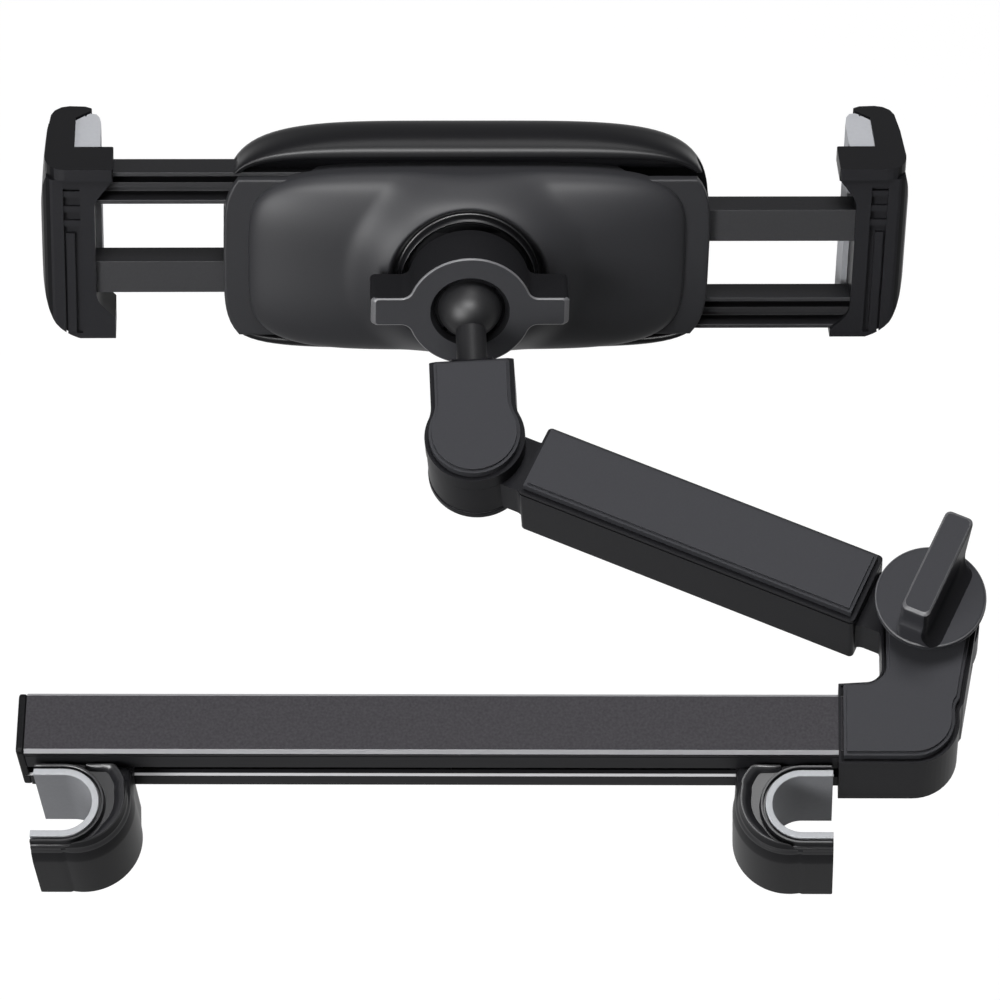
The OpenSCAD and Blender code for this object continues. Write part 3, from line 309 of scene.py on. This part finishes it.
# --- Hooks ---
# Two mirrored nylon hooks, each on a neck that reaches through the slot to its shoe. A thin
# ridge runs round the soft liner, and a crescent stands up along the bend and runs out at
# the lower jaw. The origin of the left one is its post's axis.
hook_low, hook_high = -16.9, 11.3
liner_wall, hook_back_y = 9.4, 11.7
jaw_reach, end_step = 7.6, 0.35
bend_centre, bend_radius = Vector((3.2, 1.8)), 14.4
hook_front_y = bend_centre.y - bend_radius
neck_x, side_slope, side_bulge, side_most = 16.7, 0.35, 0.985, 4


def hook_outside(angle):
    """Point where a line from the post's axis meets the hook's outside."""
    way = Vector((math.cos(angle), math.sin(angle)))
    if way.x < 1e-6:
        reach = 1e9
    else:
        along = way.dot(bend_centre)
        chord = along * along - bend_centre.length_squared + bend_radius ** 2
        reach = along + math.sqrt(max(0, chord))
        slope = way.y / way.x
        if slope > side_slope:
            bulge_x = bend_centre.x + bend_radius * side_bulge
            share = max(0, (hook_back_y - slope * neck_x) / hook_back_y)
            side = neck_x + (bulge_x - neck_x) * share
            reach = max(reach, min(side / way.x, reach + side_most))
    if way.y > 1e-6:
        reach = min(reach, hook_back_y / way.y)
    if way.y < -1e-6:
        reach = min(reach, hook_front_y / way.y)
    return way * reach


jaw_steps = (-jaw_reach, -jaw_reach + end_step, -5.5, -3.5, -1.5)
stations = [(Vector((x, liner_wall)), Vector((x, hook_back_y)), 90) for x in jaw_steps]
for degrees in range(90, -91, -3):
    a = math.radians(degrees)
    foot = Vector((math.cos(a), math.sin(a))) * liner_wall
    stations.append((foot, hook_outside(a), degrees))
for x in jaw_steps[::-1]:
    stations.append((Vector((x, -liner_wall)), Vector((x, hook_front_y)), -90))

valley, relief_depth, edge_margin = 1.3, 2.2, 0.35
least_lean, more_lean, lean_from, lean_run = 0.1, 1.6, 75, 60
crescent_radius, crescent_width, least_start, least_end = 12.9, 2.7, 1.9, 2.2
crescent_from, crescent_to, crescent_middle, least_wall = -102, 78, -12, 3.6
crescent_spread, crescent_fullness, crescent_gain = 0.92, 0.7, 1.15


def crescent_share(degrees, width):
    """How much of the crescent is there at an angle: all along the bend, none at its ends."""
    if not crescent_from < degrees < crescent_to or width <= least_wall:
        return 0
    swing = math.cos(math.radians((degrees - crescent_middle) * crescent_spread))
    return min(1, max(0, swing) ** crescent_fullness * crescent_gain)


def hook_section(inner, outer, degrees, squeeze):
    """Section across the hook at one station, from the foot of its inside to its outside's."""
    across = outer - inner
    width = across.length
    step = across / width
    lean = least_lean + more_lean * min(1, max(0, (lean_from - degrees) / lean_run))
    far = width - lean - edge_margin
    start = inner - bend_centre
    along = step.dot(start)
    chord = along * along - start.length_squared + crescent_radius ** 2
    to_circle = math.sqrt(max(0, chord)) - along
    swell = crescent_share(degrees, width)
    crest_end = min(far, max(least_end, to_circle))
    crest = max(least_start, crest_end - crescent_width * swell)
    low, high = hook_low + squeeze, hook_high - squeeze
    floor = high - relief_depth
    top = floor + relief_depth * swell
    spots = [
        (0, low), (0, hook_low + 8), (0, high - valley), (0.4, high - valley),
        (0.5, high - 0.15), (0.65, high), (1.05, high), (1.2, high - 0.2),
        (1.3, floor + 0.15), (1.45, floor), (min(1.7, crest - 0.15), floor),
    ]
    for t in (0, 0.12, 0.3, 0.5, 0.7, 0.88, 1):
        bow = math.sin(math.pi * min(1, t * 1.15) / 2)
        spots.append((crest + (crest_end - crest) * t, floor + (top - floor) * bow))
    spots += [
        (crest_end + 0.25, min(top, high) - 0.3), (crest_end + 0.45, floor - 0.9),
        (far + 0.45 * lean + 0.1, floor - 1.6), (width - 0.42 * lean, high - 4.5),
        (width - 0.1 * lean, high - 8.2), (width - 0.03 * lean, high - 9.2),
        (width, hook_low + 1.2), (width - 0.12, hook_low + 0.4), (width - 0.5, low),
    ]
    furthest = 0
    section = []
    for distance, z in spots:
        furthest = max(furthest, min(distance, width))
        p = inner + step * furthest
        section.append((p.x, p.y, z))
    return section


end_squeeze = 0.3
hook_loops = []
for index, (inner, outer, degrees) in enumerate(stations):
    at_end = index in (0, len(stations) - 1)
    hook_loops.append(hook_section(inner, outer, degrees, end_squeeze if at_end else 0))
neck_start, neck_inside_y, shoe_front_y = 5, 9.8, 14.1
slot_low, slot_high = 1.0, 5.7
neck = block((neck_start, neck_inside_y, slot_low), (neck_x, shoe_front_y, slot_high))
# Walls, neck and low faces get a darker, duller copy of the hook's plastic, a painted shade.
hook_black = make_finish("hook_plastic", 0.36, 0.03, (0.012, 0.012, 0.0135),
                         (0.016, 0.016, 0.018), 2600, 0.08)
# The upper faces get a lighter, glossier copy, a painted highlight.
hook_top_painted_highlight = make_finish("hook_top_painted_highlight", 0.28, 0.2, (0.016, 0.016, 0.018),
                          (0.02, 0.02, 0.0225), 2600, 0.04)
post_spacing = 185.5
mirrored = MM @ Matrix.Translation((post_spacing, 0, 0)) @ Matrix.Scale(-1, 4, (1, 0, 0))
relief_z = 0.006
for side, place in (("left", MM), ("right", mirrored)):
    turned = side == "left"
    skins = [loft([loop[::-1] if turned else loop for loop in hook_loops], place),
             loft([loop if turned else loop[::-1] for loop in neck], place)]
    hook = moulding(side + "_hook_moulding", skins, hook_black, side + "_hook",
                    [side + "_hook"], crease=40)
    hook.data.materials.append(hook_top_painted_highlight)
    # Upper faces get the painted highlight, the rest the painted shade.
    for face in hook.data.polygons:
        face.material_index = 1 if face.normal.z > 0.15 and face.center.z > relief_z else 0


# --- Liners ---
# Each hook's liner is a channel of soft grey silicone, pressed into the hook so that the
# post isn't scratched. Its upward faces are painted paler than its inside, a painted highlight.
liner_outer, liner_inner, liner_round = 9.3, 7.5, 0.35
liner_low = hook_low + 0.1
shoulder = liner_round * 0.3
liner_section = [
    (liner_outer, liner_low), (liner_outer, hook_high - liner_round),
    (liner_outer - shoulder, hook_high - shoulder), (liner_outer - liner_round, hook_high),
    (liner_inner + liner_round, hook_high), (liner_inner + shoulder, hook_high - shoulder),
    (liner_inner, hook_high - liner_round), (liner_inner, liner_low),
]
liner_loops = []
for inner, _, _ in stations:
    way = inner / liner_wall if inner.x >= 0 else Vector((0, 1 if inner.y > 0 else -1))
    x = min(inner.x, 0)
    liner_loops.append([(x + way.x * r, way.y * r, z) for r, z in liner_section])
liner_grey = make_finish("liner_silicone", 0.6, 0.2, (0.22, 0.225, 0.24), (0.25, 0.255, 0.272),
                         900, 0.1)
# A paler copy of the silicone for the upward faces, a painted highlight.
liner_top_painted_highlight = make_finish("liner_top_painted_highlight", 0.6, 0.2, (0.37, 0.38, 0.4), (0.43, 0.44, 0.46), 900, 0.1)
for side, place in (("left", MM), ("right", mirrored)):
    loops = [loop if side == "left" else loop[::-1] for loop in liner_loops]
    pad = moulding(side + "_liner_pad", [loft(loops, place)], liner_grey, side + "_hook",
                   [side + "_hook_liner"], crease=40)
    pad.data.materials.append(liner_top_painted_highlight)
    for face in pad.data.polygons:
        face.material_index = 1 if face.normal.z > 0.3 else 0


# --- Ball and collar ---
# A steel ball on a neck, coated black, leaves the link's far end. It sits in a split plastic
# collar that belongs to the holder.
ball_coat = make_finish("ball_coat", 0.45, 0.12, (0.01, 0.01, 0.011), (0.014, 0.014, 0.0155),
                        1500, 0.03)
dress(["ball_stud"], ball_coat)
dress(["socket_collar"], end_black)


# --- Lock nut ---
# A plastic nut with two square wings screws down over the collar and squeezes it on the
# ball. Its sides are painted darker than its face, a painted shade, and its narrow outer
# chamfer is painted bright, a painted highlight.
ball_centre = (99.028, 144.1207, 6.5)
holder_yaw, holder_lean, holder_spin = 4.8, 28.4, -5
holder_place = (MM @ Matrix.Translation(ball_centre)
                @ Matrix.Rotation(math.radians(holder_yaw), 4, "Z")
                @ Matrix.Rotation(math.radians(90 - holder_lean), 4, "X")
                @ Matrix.Rotation(math.radians(holder_spin), 4, "Z"))
to_holder = holder_place.inverted()
face_way = (holder_place.to_3x3() @ Vector((0, 0, 1))).normalized()


def nut_loop(inset, z, tip=0.0):
    """Round nut with two square wings, the corner between them filled in by a small radius."""
    ring, half, reach, fill, corner = 16.5, 4.2, 26.0, 3.0, 1.3
    tip_from, tip_run = 23, 2
    fx = math.sqrt((ring + fill) ** 2 - (half + fill) ** 2)
    meet = math.degrees(math.atan2(half + fill, fx))
    cx, cy, fy = reach - corner, half - corner, half + fill
    arcs = [
        (cx, cy, corner, 0, 90, 4), (fx, fy, -fill, 270, 180 + meet, 6),
        (0, 0, ring, meet, 180 - meet, 40), (-fx, fy, -fill, 360 - meet, 270, 6),
        (-cx, cy, corner, 90, 180, 4), (-cx, -cy, corner, 180, 270, 4),
        (-fx, -fy, -fill, 90, meet, 6), (0, 0, ring, 180 + meet, 360 - meet, 40),
        (fx, -fy, -fill, 180 - meet, 90, 6), (cx, -cy, corner, 270, 360, 4),
    ]
    loop = []
    for x, y, r, start, end, steps in arcs:
        radius = r - inset if r > 0 else -r + inset
        for k in range(steps + 1):
            a = math.radians(start + (end - start) * k / steps)
            px, py = x + radius * math.cos(a), y + radius * math.sin(a)
            if abs(px) > tip_from:
                px -= math.copysign(tip * min(1, (abs(px) - tip_from) / tip_run), px)
            loop.append((px, py, z))
    return loop


def onto_circle(loop, radius, z):
    """The loop's points moved along their own directions onto a circle."""
    return [(x / math.hypot(x, y) * radius, y / math.hypot(x, y) * radius, z)
            for x, y, *_ in loop]


nut_face, nut_low, nut_mouth, nut_bore = 3.2, -9.2, 9.3, 12.8
outline = [(0.4, nut_low, 0), (0, nut_low + 0.4, 0), (0, nut_face - 0.9, 0),
           (0.06, nut_face - 0.35, 0.45), (0.35, nut_face - 0.05, 0.8), (0.45, nut_face, 0.85),
           (0.75, nut_face, 0.85)]
mouth = [(nut_mouth + 1.4, nut_face), (nut_mouth + 1.15, nut_face),
         (nut_mouth + 0.95, nut_face - 0.1), (nut_mouth + 0.1, nut_face - 1.1),
         (nut_mouth, nut_face - 1.4), (nut_mouth, nut_face - 1.9), (nut_bore, nut_face - 2.0),
         (nut_bore, nut_low)]
skirt_r, skirt_low, skirt_bevel = 16.1, -11.8, 0.3
skirt = [(skirt_r, nut_low + 0.1), (skirt_r, skirt_low + skirt_bevel),
         (skirt_r - skirt_bevel, skirt_low), (nut_bore, skirt_low), (nut_bore, nut_low)]
nut_loops = [nut_loop(inset, z, tip) for inset, z, tip in outline]
nut_loops += [onto_circle(nut_loop(0, 0), radius, z) for radius, z in mouth]
skirt_loops = [circle(radius, z)[::-1] for radius, z in skirt]
nut_black = make_finish("nut_plastic", 0.4, 0.02, (0.062, 0.0625, 0.0675),
                        (0.07, 0.0705, 0.0765), 2600, 0.08)
# A near-black copy for the nut's sides, a painted shade.
nut_side_painted_shade = make_finish("nut_side_painted_shade", 0.4, 0.02, (0.012, 0.012, 0.0135), (0.016, 0.016, 0.0175),
                       2600, 0.08)
# A lighter copy for the outer chamfer, a painted highlight.
nut_chamfer_painted_highlight = make_finish("nut_chamfer_painted_highlight", 0.35, 0.2, (0.13, 0.13, 0.138), (0.16, 0.16, 0.168),
                          2600, 0.04)
nut_skins = [loft(nut_loops, holder_place, ring=True),
             loft(skirt_loops, holder_place, ring=True)]
nut = moulding("lock_nut_moulding", nut_skins, nut_black, "lock_nut", ["lock_nut"])
nut.data.materials.append(nut_side_painted_shade)
nut.data.materials.append(nut_chamfer_painted_highlight)
# The face keeps the plain plastic, the outer chamfer gets the painted highlight, the rest the
# painted shade.
for face in nut.data.polygons:
    facing = face.normal.dot(face_way)
    outer = (to_holder @ face.center).xy.length > 13
    face.material_index = 0 if facing > 0.97 else 2 if facing > 0.3 and outer else 1


# --- Rear cover ---
# A domed shell, blended into a raised rim round the ball joint, with a flat flange at each
# end. It is moulded in soft-touch black and screwed on from the front. The crater behind
# the nut, with its thin lip, is glossier and painted near-black, a painted shade.
body_a, body_b, dome_a, dome_b, squareness = 64.5, 35.6, 58.0, 28.4, 4.5
flange_w, inside_w = -23.2, -25.2
top_squeeze = 0.962
dome_h, dome_round = 8.0, 2.5
hump_h, hump_r, hump_run = 4.6, 20.5, 12.5
crater_h, crater_from, crater_run = 3.2, 1.2, 3.2
lip_h, lip_r, lip_width = 2.1, 17.7, 0.75


def ease(x):
    """Smooth step from 0 to 1."""
    t = min(1, max(0, x))
    return t * t * (3 - 2 * t)


def dome(x, y):
    """Height of the shell over its flange."""
    half = dome_b * (top_squeeze if y > 0 else 1)
    s = ((abs(x) / dome_a) ** squareness + (abs(y) / half) ** squareness) ** (1 / squareness)
    r = math.hypot(x, y)
    shell = dome_h * math.sqrt(max(0, 1 - min(s, 1) ** dome_round))
    hump = hump_h * ease((hump_r + hump_run - r) / hump_run)
    crater = crater_h * ease((hump_r + crater_from - r) / crater_run)
    lip = lip_h * math.exp(-((r - lip_r) / lip_width) ** 2)
    return shell + hump - crater + lip


def superellipse(a, b, power=squareness, count=240):
    """Loop between an ellipse and a box: the higher its power, the squarer its corners."""
    loop = []
    for k in range(count):
        t = 2 * math.pi * k / count
        c, s = math.cos(t), math.sin(t)
        r = (abs(c / a) ** power + abs(s / b) ** power) ** (-1 / power)
        loop.append((r * c, r * s))
    return loop


def on_dome(loop):
    """The loop's points lifted onto the shell."""
    return [(x, y, flange_w + dome(x, y)) for x, y, *_ in loop]


rim = [(x, y * top_squeeze if y > 0 else y) for x, y in superellipse(dome_a, dome_b)]
hump_edge_r = hump_r + 1.5
inner_steps, outer_steps = 36, 40
cover_loops = []
for k in range(inner_steps + 1):
    r = nut_bore + (hump_edge_r - nut_bore) * k / inner_steps
    cover_loops.append(on_dome(onto_circle(rim, r, 0)))
hump_edge = onto_circle(rim, hump_edge_r, 0)
for k in range(1, outer_steps + 1):
    share = math.sin(math.pi / 2 * k / outer_steps)
    cover_loops.append(on_dome([((1 - share) * cx + share * x, (1 - share) * cy + share * y)
                                for (cx, cy, _), (x, y) in zip(hump_edge, rim)]))
bars_half, skirt_drop, end_drop = 26, 2, 0.1
cover_loops.append([(x, y, inside_w - (skirt_drop if abs(y) > bars_half else end_drop))
                    for x, y in rim])
cover_loops = [loop[::-1] for loop in cover_loops]
bore_high = flange_w + 10.4
bore = [onto_circle(rim, nut_bore, z)[::-1] for z in (inside_w, bore_high)]

flange_half, flange_inset, flange_steps = 24.3, 2.6, 24


def flange_loop(inset, z):
    """Round both flanges at once: straight above and below, following the body at the ends."""
    half = flange_half - inset
    loop = []
    for side in (1, -1):
        for k in range(flange_steps + 1):
            y = side * (-half + 2 * half * k / flange_steps)
            in_end = 1 - (abs(y) / (body_b - flange_inset)) ** squareness
            loop.append((side * (body_a - inset) * in_end ** (1 / squareness), y, z))
    return loop


flange = [flange_loop(0, inside_w), flange_loop(0, flange_w - 0.5),
          flange_loop(0.15, flange_w - 0.15), flange_loop(0.5, flange_w),
          flange_loop(0.8, flange_w)]
cover_black = make_finish("cover_plastic", 0.45, 0.08, (0.032, 0.0322, 0.0355),
                          (0.037, 0.0372, 0.041), 2600, 0.04)
# A near-black, glossier copy for the crater inside the hump, a painted shade.
crater_painted_shade = make_finish("crater_painted_shade", 0.3, 0.2, (0.007, 0.007, 0.008),
                           (0.009, 0.009, 0.0105), 2600, 0.04)
cover_skins = [loft(cover_loops, holder_place, capped=False), loft(flange, holder_place),
               loft(bore, holder_place, capped=False)]
cover = moulding("rear_cover_shell", cover_skins, cover_black, "holder", ["rear_cover"],
                 crease=50)
cover.data.materials.append(crater_painted_shade)
# Faces within the hump's radius get the painted shade.
for face in cover.data.polygons:
    reach = max((to_holder @ cover.data.vertices[i].co).xy.length for i in face.vertices)
    face.material_index = 1 if reach < hump_r else 0


# --- Front housing ---
# The plastic tray that closes the holder towards the tablet. Its rim rolls over to a crest,
# with a dark valley between it and the dome, and it guides the four slide bars in open
# runs. Below, it is drawn in so that the dome hides it from behind.
front_w, side_w = -37.2, -32.8
front_corner = [(3.2, 3.2, 0), (2.4, 2.4, 0), (1.2, 1.1, 0.6), (0.4, 0.35, 1.9),
                (0.05, 0.05, 3.3)]
crest_rise, crest_in_a, crest_in_b, crest_power, crest_steps = 8.4, 1.0, 5.0, 8, 18
crest_w = side_w + crest_rise
valley_wall = [(0.5, 0.12), (0.9, 0.5), (1.15, 1.1), (1.25, 2.0), (1.3, 2.9)]
lower_squeeze = 0.9
housing_loops = []
for inset_a, inset_b, rise in front_corner:
    shape = superellipse(body_a - inset_a, body_b - inset_b)
    housing_loops.append([(x, y, front_w + rise) for x, y in shape])
for k in range(crest_steps + 1):
    a = math.pi / 2 * k / crest_steps
    inwards = 1 - math.cos(a)
    shape = superellipse(body_a - crest_in_a * inwards, body_b - crest_in_b * inwards,
                         power=squareness + (crest_power - squareness) * inwards)
    housing_loops.append([(x, y, side_w + crest_rise * math.sin(a)) for x, y in shape])
for inwards, drop in valley_wall:
    shape = superellipse(body_a - crest_in_a - inwards, body_b - crest_in_b - inwards,
                         power=crest_power)
    housing_loops.append([(x, y, crest_w - drop) for x, y in shape])
housing_loops = [[(x, y if y > 0 else y * lower_squeeze, z) for x, y, z in loop]
                 for loop in housing_loops]
housing_black = make_finish("housing_plastic", 0.34, 0.07, (0.006, 0.006, 0.007),
                            (0.009, 0.009, 0.0105), 2600, 0.04)
housing = moulding("front_housing_shell", [loft(housing_loops, holder_place)], housing_black,
                   "holder", ["front_housing"], crease=50)


def cutter(name, loops, place):
    """A solid that is only there to be cut out of another one."""
    points, faces = loft(loops, place)
    mesh = bpy.data.meshes.new(name)
    mesh.from_pydata(points, [], faces)
    piece = bpy.data.objects.new(name, mesh)
    bpy.context.scene.collection.objects.link(piece)
    return piece


slide_v, bar_h, bar_low, bar_gap = 0.7, 9.8, -32.5, 0.3
bar_rows = (-19.7, -7.9, 7.9, 19.7)
run_low, run_high, run_reach = bar_low - bar_gap, inside_w + 1, 70
run_half = bar_h / 2 + bar_gap
gap_reach, gap_half, gap_high = 97, 24.5, -18
end_gap = block((-gap_reach, -gap_half, inside_w), (gap_reach, gap_half, gap_high))
room_r, room_high, room_facets = 5.1, -20, 32
pinion_room = [circle(room_r, z, room_facets) for z in (run_low, room_high)]
slides_place = holder_place @ Matrix.Translation((0, slide_v, 0))
tools = [cutter("end_gap", end_gap, holder_place),
         cutter("pinion_room", pinion_room, slides_place)]
for row in bar_rows:
    run = block((-run_reach, slide_v + row - run_half, run_low),
                (run_reach, slide_v + row + run_half, run_high))
    tools.append(cutter("run", run, holder_place))
for tool in tools:
    cut = housing.modifiers.new("cut", "BOOLEAN")
    cut.object = tool
    cut.operation = "DIFFERENCE"
    cut.solver = "EXACT"
housing.modifiers.move(0, len(housing.modifiers) - 1)
depsgraph = bpy.context.evaluated_depsgraph_get()
shaped = bpy.data.meshes.new_from_object(housing.evaluated_get(depsgraph))
housing.modifiers.clear()
housing.data = shaped
for tool in tools:
    bpy.data.objects.remove(tool)
for face in shaped.polygons:
    face.use_smooth = True
shaped.set_sharp_from_angle(angle=math.radians(35))
even = housing.modifiers.new("even", "WEIGHTED_NORMAL")
even.keep_sharp = True


# --- Front pad, seat and pinion ---
# A soft grey pad is glued to the holder's front. Inside, the ball's friction seat and the
# pinion between the racks are natural nylon, and the pinion's axle and the housing's screws
# are zinc-plated steel.
natural_nylon = make_finish("natural_nylon", 0.5, 0.3, (0.55, 0.55, 0.53), (0.62, 0.62, 0.6),
                            900, 0.05)
dress(["front_pad"], liner_grey)
dress(["ball_seat", "jaw_pinion"], natural_nylon)
dress(["housing_screws", "pinion_axle"], zinc)


# --- Slide bars ---
# Four pressed channels of black anodised aluminium, two to each jaw; the two inner ones
# carry the racks. Their side towards the holder's back is painted lighter, a painted highlight.
def paint_light_by_facing(names, finish, least):
    """Paints the faces that look the way the holder's back looks with a lighter second finish, a
    painted highlight.
    """
    for name in names:
        node = nodes[name]
        node.data.materials.append(finish)
        for face in node.data.polygons:
            facing = (node.matrix_world.to_3x3() @ face.normal).normalized().dot(face_way)
            face.material_index = 1 if facing > least else 0


bars = ["left_upper_bar", "left_lower_bar", "right_upper_bar", "right_lower_bar"]
bar_black = make_finish("bar_anodised", 0.36, 0.04, (0.014, 0.014, 0.0155),
                        (0.02, 0.02, 0.022), 1600, 0.1)
# A lighter copy of the anodising for the faces towards the holder's back, a painted highlight.
bar_back_painted_highlight = make_finish("bar_back_painted_highlight", 0.4, 0.03, (0.06, 0.06, 0.0635), (0.07, 0.07, 0.074),
                       1600, 0.1)
dress(bars, bar_black)
paint_light_by_facing(bars, bar_back_painted_highlight, 0.8)
soften(bars, 0.00025)


# --- Jaws and pads ---
# Two mirrored plastic mouldings that clamp the tablet's edges, with a waisted foot and a
# rounded back. Their pads are pale silicone, glued to a firm strip; two screws hold each
# jaw on its bars.
jaws = ["left_jaw", "right_jaw"]
# A near-black copy of the jaws' plastic for all but their backs, a painted shade.
jaw_black = make_finish("jaw_plastic", 0.34, 0.03, (0.007, 0.007, 0.008), (0.01, 0.01, 0.0115),
                        2600, 0.08)
# A lighter copy for the faces towards the holder's back, a painted highlight.
jaw_back_painted_highlight = make_finish("jaw_back_painted_highlight", 0.4, 0.03, (0.026, 0.026, 0.029), (0.031, 0.031, 0.0345),
                       2600, 0.08)
dress(jaws, jaw_black)
paint_light_by_facing(jaws, jaw_back_painted_highlight, 0.75)
soften(jaws, 0.0004)
pad_pale = make_finish("pad_silicone", 0.6, 0.2, (0.46, 0.47, 0.5), (0.52, 0.53, 0.56), 900, 0.1)
dress(["left_jaw_pad", "right_jaw_pad"], pad_pale)
dress(["left_jaw_screws", "right_jaw_screws"], zinc)


# --- Floor, light and camera ---
# A pale floor lies well below the mount. One soft lamp lights it from above and behind,
# one from the front left, and two more only draw highlights: one on the dome, one along
# the housing's crest. The camera looks down over the seat's back, as in the photograph.
def seen_directly(tree):
    """1 for what the camera sees, also in reflections and through clear parts."""
    path = tree.nodes.new("ShaderNodeLightPath")
    either = path.outputs["Is Camera Ray"]
    for ray in ("Is Glossy Ray", "Is Transmission Ray"):
        join = tree.nodes.new("ShaderNodeMath")
        join.operation = "MAXIMUM"
        tree.links.new(either, join.inputs[0])
        tree.links.new(path.outputs[ray], join.inputs[1])
        either = join.outputs[0]
    return either


world = bpy.data.worlds.new("studio")
bpy.context.scene.world = world
world.use_nodes = True
tree = world.node_tree
background = tree.nodes["Background"]
background.inputs["Color"].default_value = (1, 1, 1, 1)
level = tree.nodes.new("ShaderNodeMapRange")
level.inputs["To Min"].default_value = 0.06
level.inputs["To Max"].default_value = 1
tree.links.new(seen_directly(tree), level.inputs["Value"])
tree.links.new(level.outputs[0], background.inputs["Strength"])

bpy.ops.mesh.primitive_plane_add(size=12, location=(0.1, 0.1, -0.6))
floor = bpy.context.object
floor.name = "floor"
floor_pale = bpy.data.materials.new("floor")
floor_pale.use_nodes = True
tree = floor_pale.node_tree
shader = tree.nodes["Principled BSDF"]
shader.inputs["Base Color"].default_value = (0.22, 0.22, 0.22, 1)
shader.inputs["Roughness"].default_value = 1
shader.inputs["Specular IOR Level"].default_value = 0
shader.inputs["Emission Color"].default_value = (1, 1, 1, 1)
glow = tree.nodes.new("ShaderNodeMath")
glow.operation = "MULTIPLY"
glow.inputs[1].default_value = 0.85
tree.links.new(seen_directly(tree), glow.inputs[0])
tree.links.new(glow.outputs[0], shader.inputs["Emission Strength"])
floor.data.materials.append(floor_pale)

mount_middle = Vector((0.1, 0.08, 0))


def soft_lamp(name, direction, distance, size, power, only_shine=False):
    """Lamp that looks at the mount's middle; a shine lamp only draws highlights."""
    lamp = bpy.data.lights.new(name, "AREA")
    lamp.shape = "RECTANGLE"
    lamp.size, lamp.size_y = size
    lamp.energy = power
    stand = bpy.data.objects.new(name, lamp)
    bpy.context.scene.collection.objects.link(stand)
    way = Vector(direction).normalized()
    stand.location = mount_middle + way * distance
    stand.rotation_euler = (-way).to_track_quat("-Z", "Y").to_euler()
    stand.visible_diffuse = not only_shine


soft_lamp("back_top", (0.12, 0.3, 0.94), 1.6, (0.7, 0.7), 21)
soft_lamp("front_left", (-0.62, -0.56, 0.56), 1.6, (0.7, 0.7), 17)
soft_lamp("dome_shine", (-0.5, -0.75, 0.42), 1.4, (0.9, 0.9), 75, only_shine=True)
soft_lamp("ridge_shine", (0.0, -0.4, 0.92), 1.4, (0.8, 0.2), 75, only_shine=True)

camera = bpy.data.cameras.new("camera")
camera.lens = 200.546
camera.sensor_width = 36
camera.clip_end = 20
viewer = bpy.data.objects.new("camera", camera)
bpy.context.scene.collection.objects.link(viewer)
eye = (0.170237, -0.554543, 1.288501)
right = Vector((0.999062, 0.019211, -0.038816))
up = Vector((0.000192, 0.894258, 0.447552))
back = Vector((0.043309, -0.44714, 0.893415))
turn = Matrix((right, up, back)).transposed()
viewer.matrix_world = Matrix.Translation(eye) @ turn.to_4x4()
bpy.context.scene.camera = viewer
bpy.context.scene.view_settings.view_transform = "Standard"
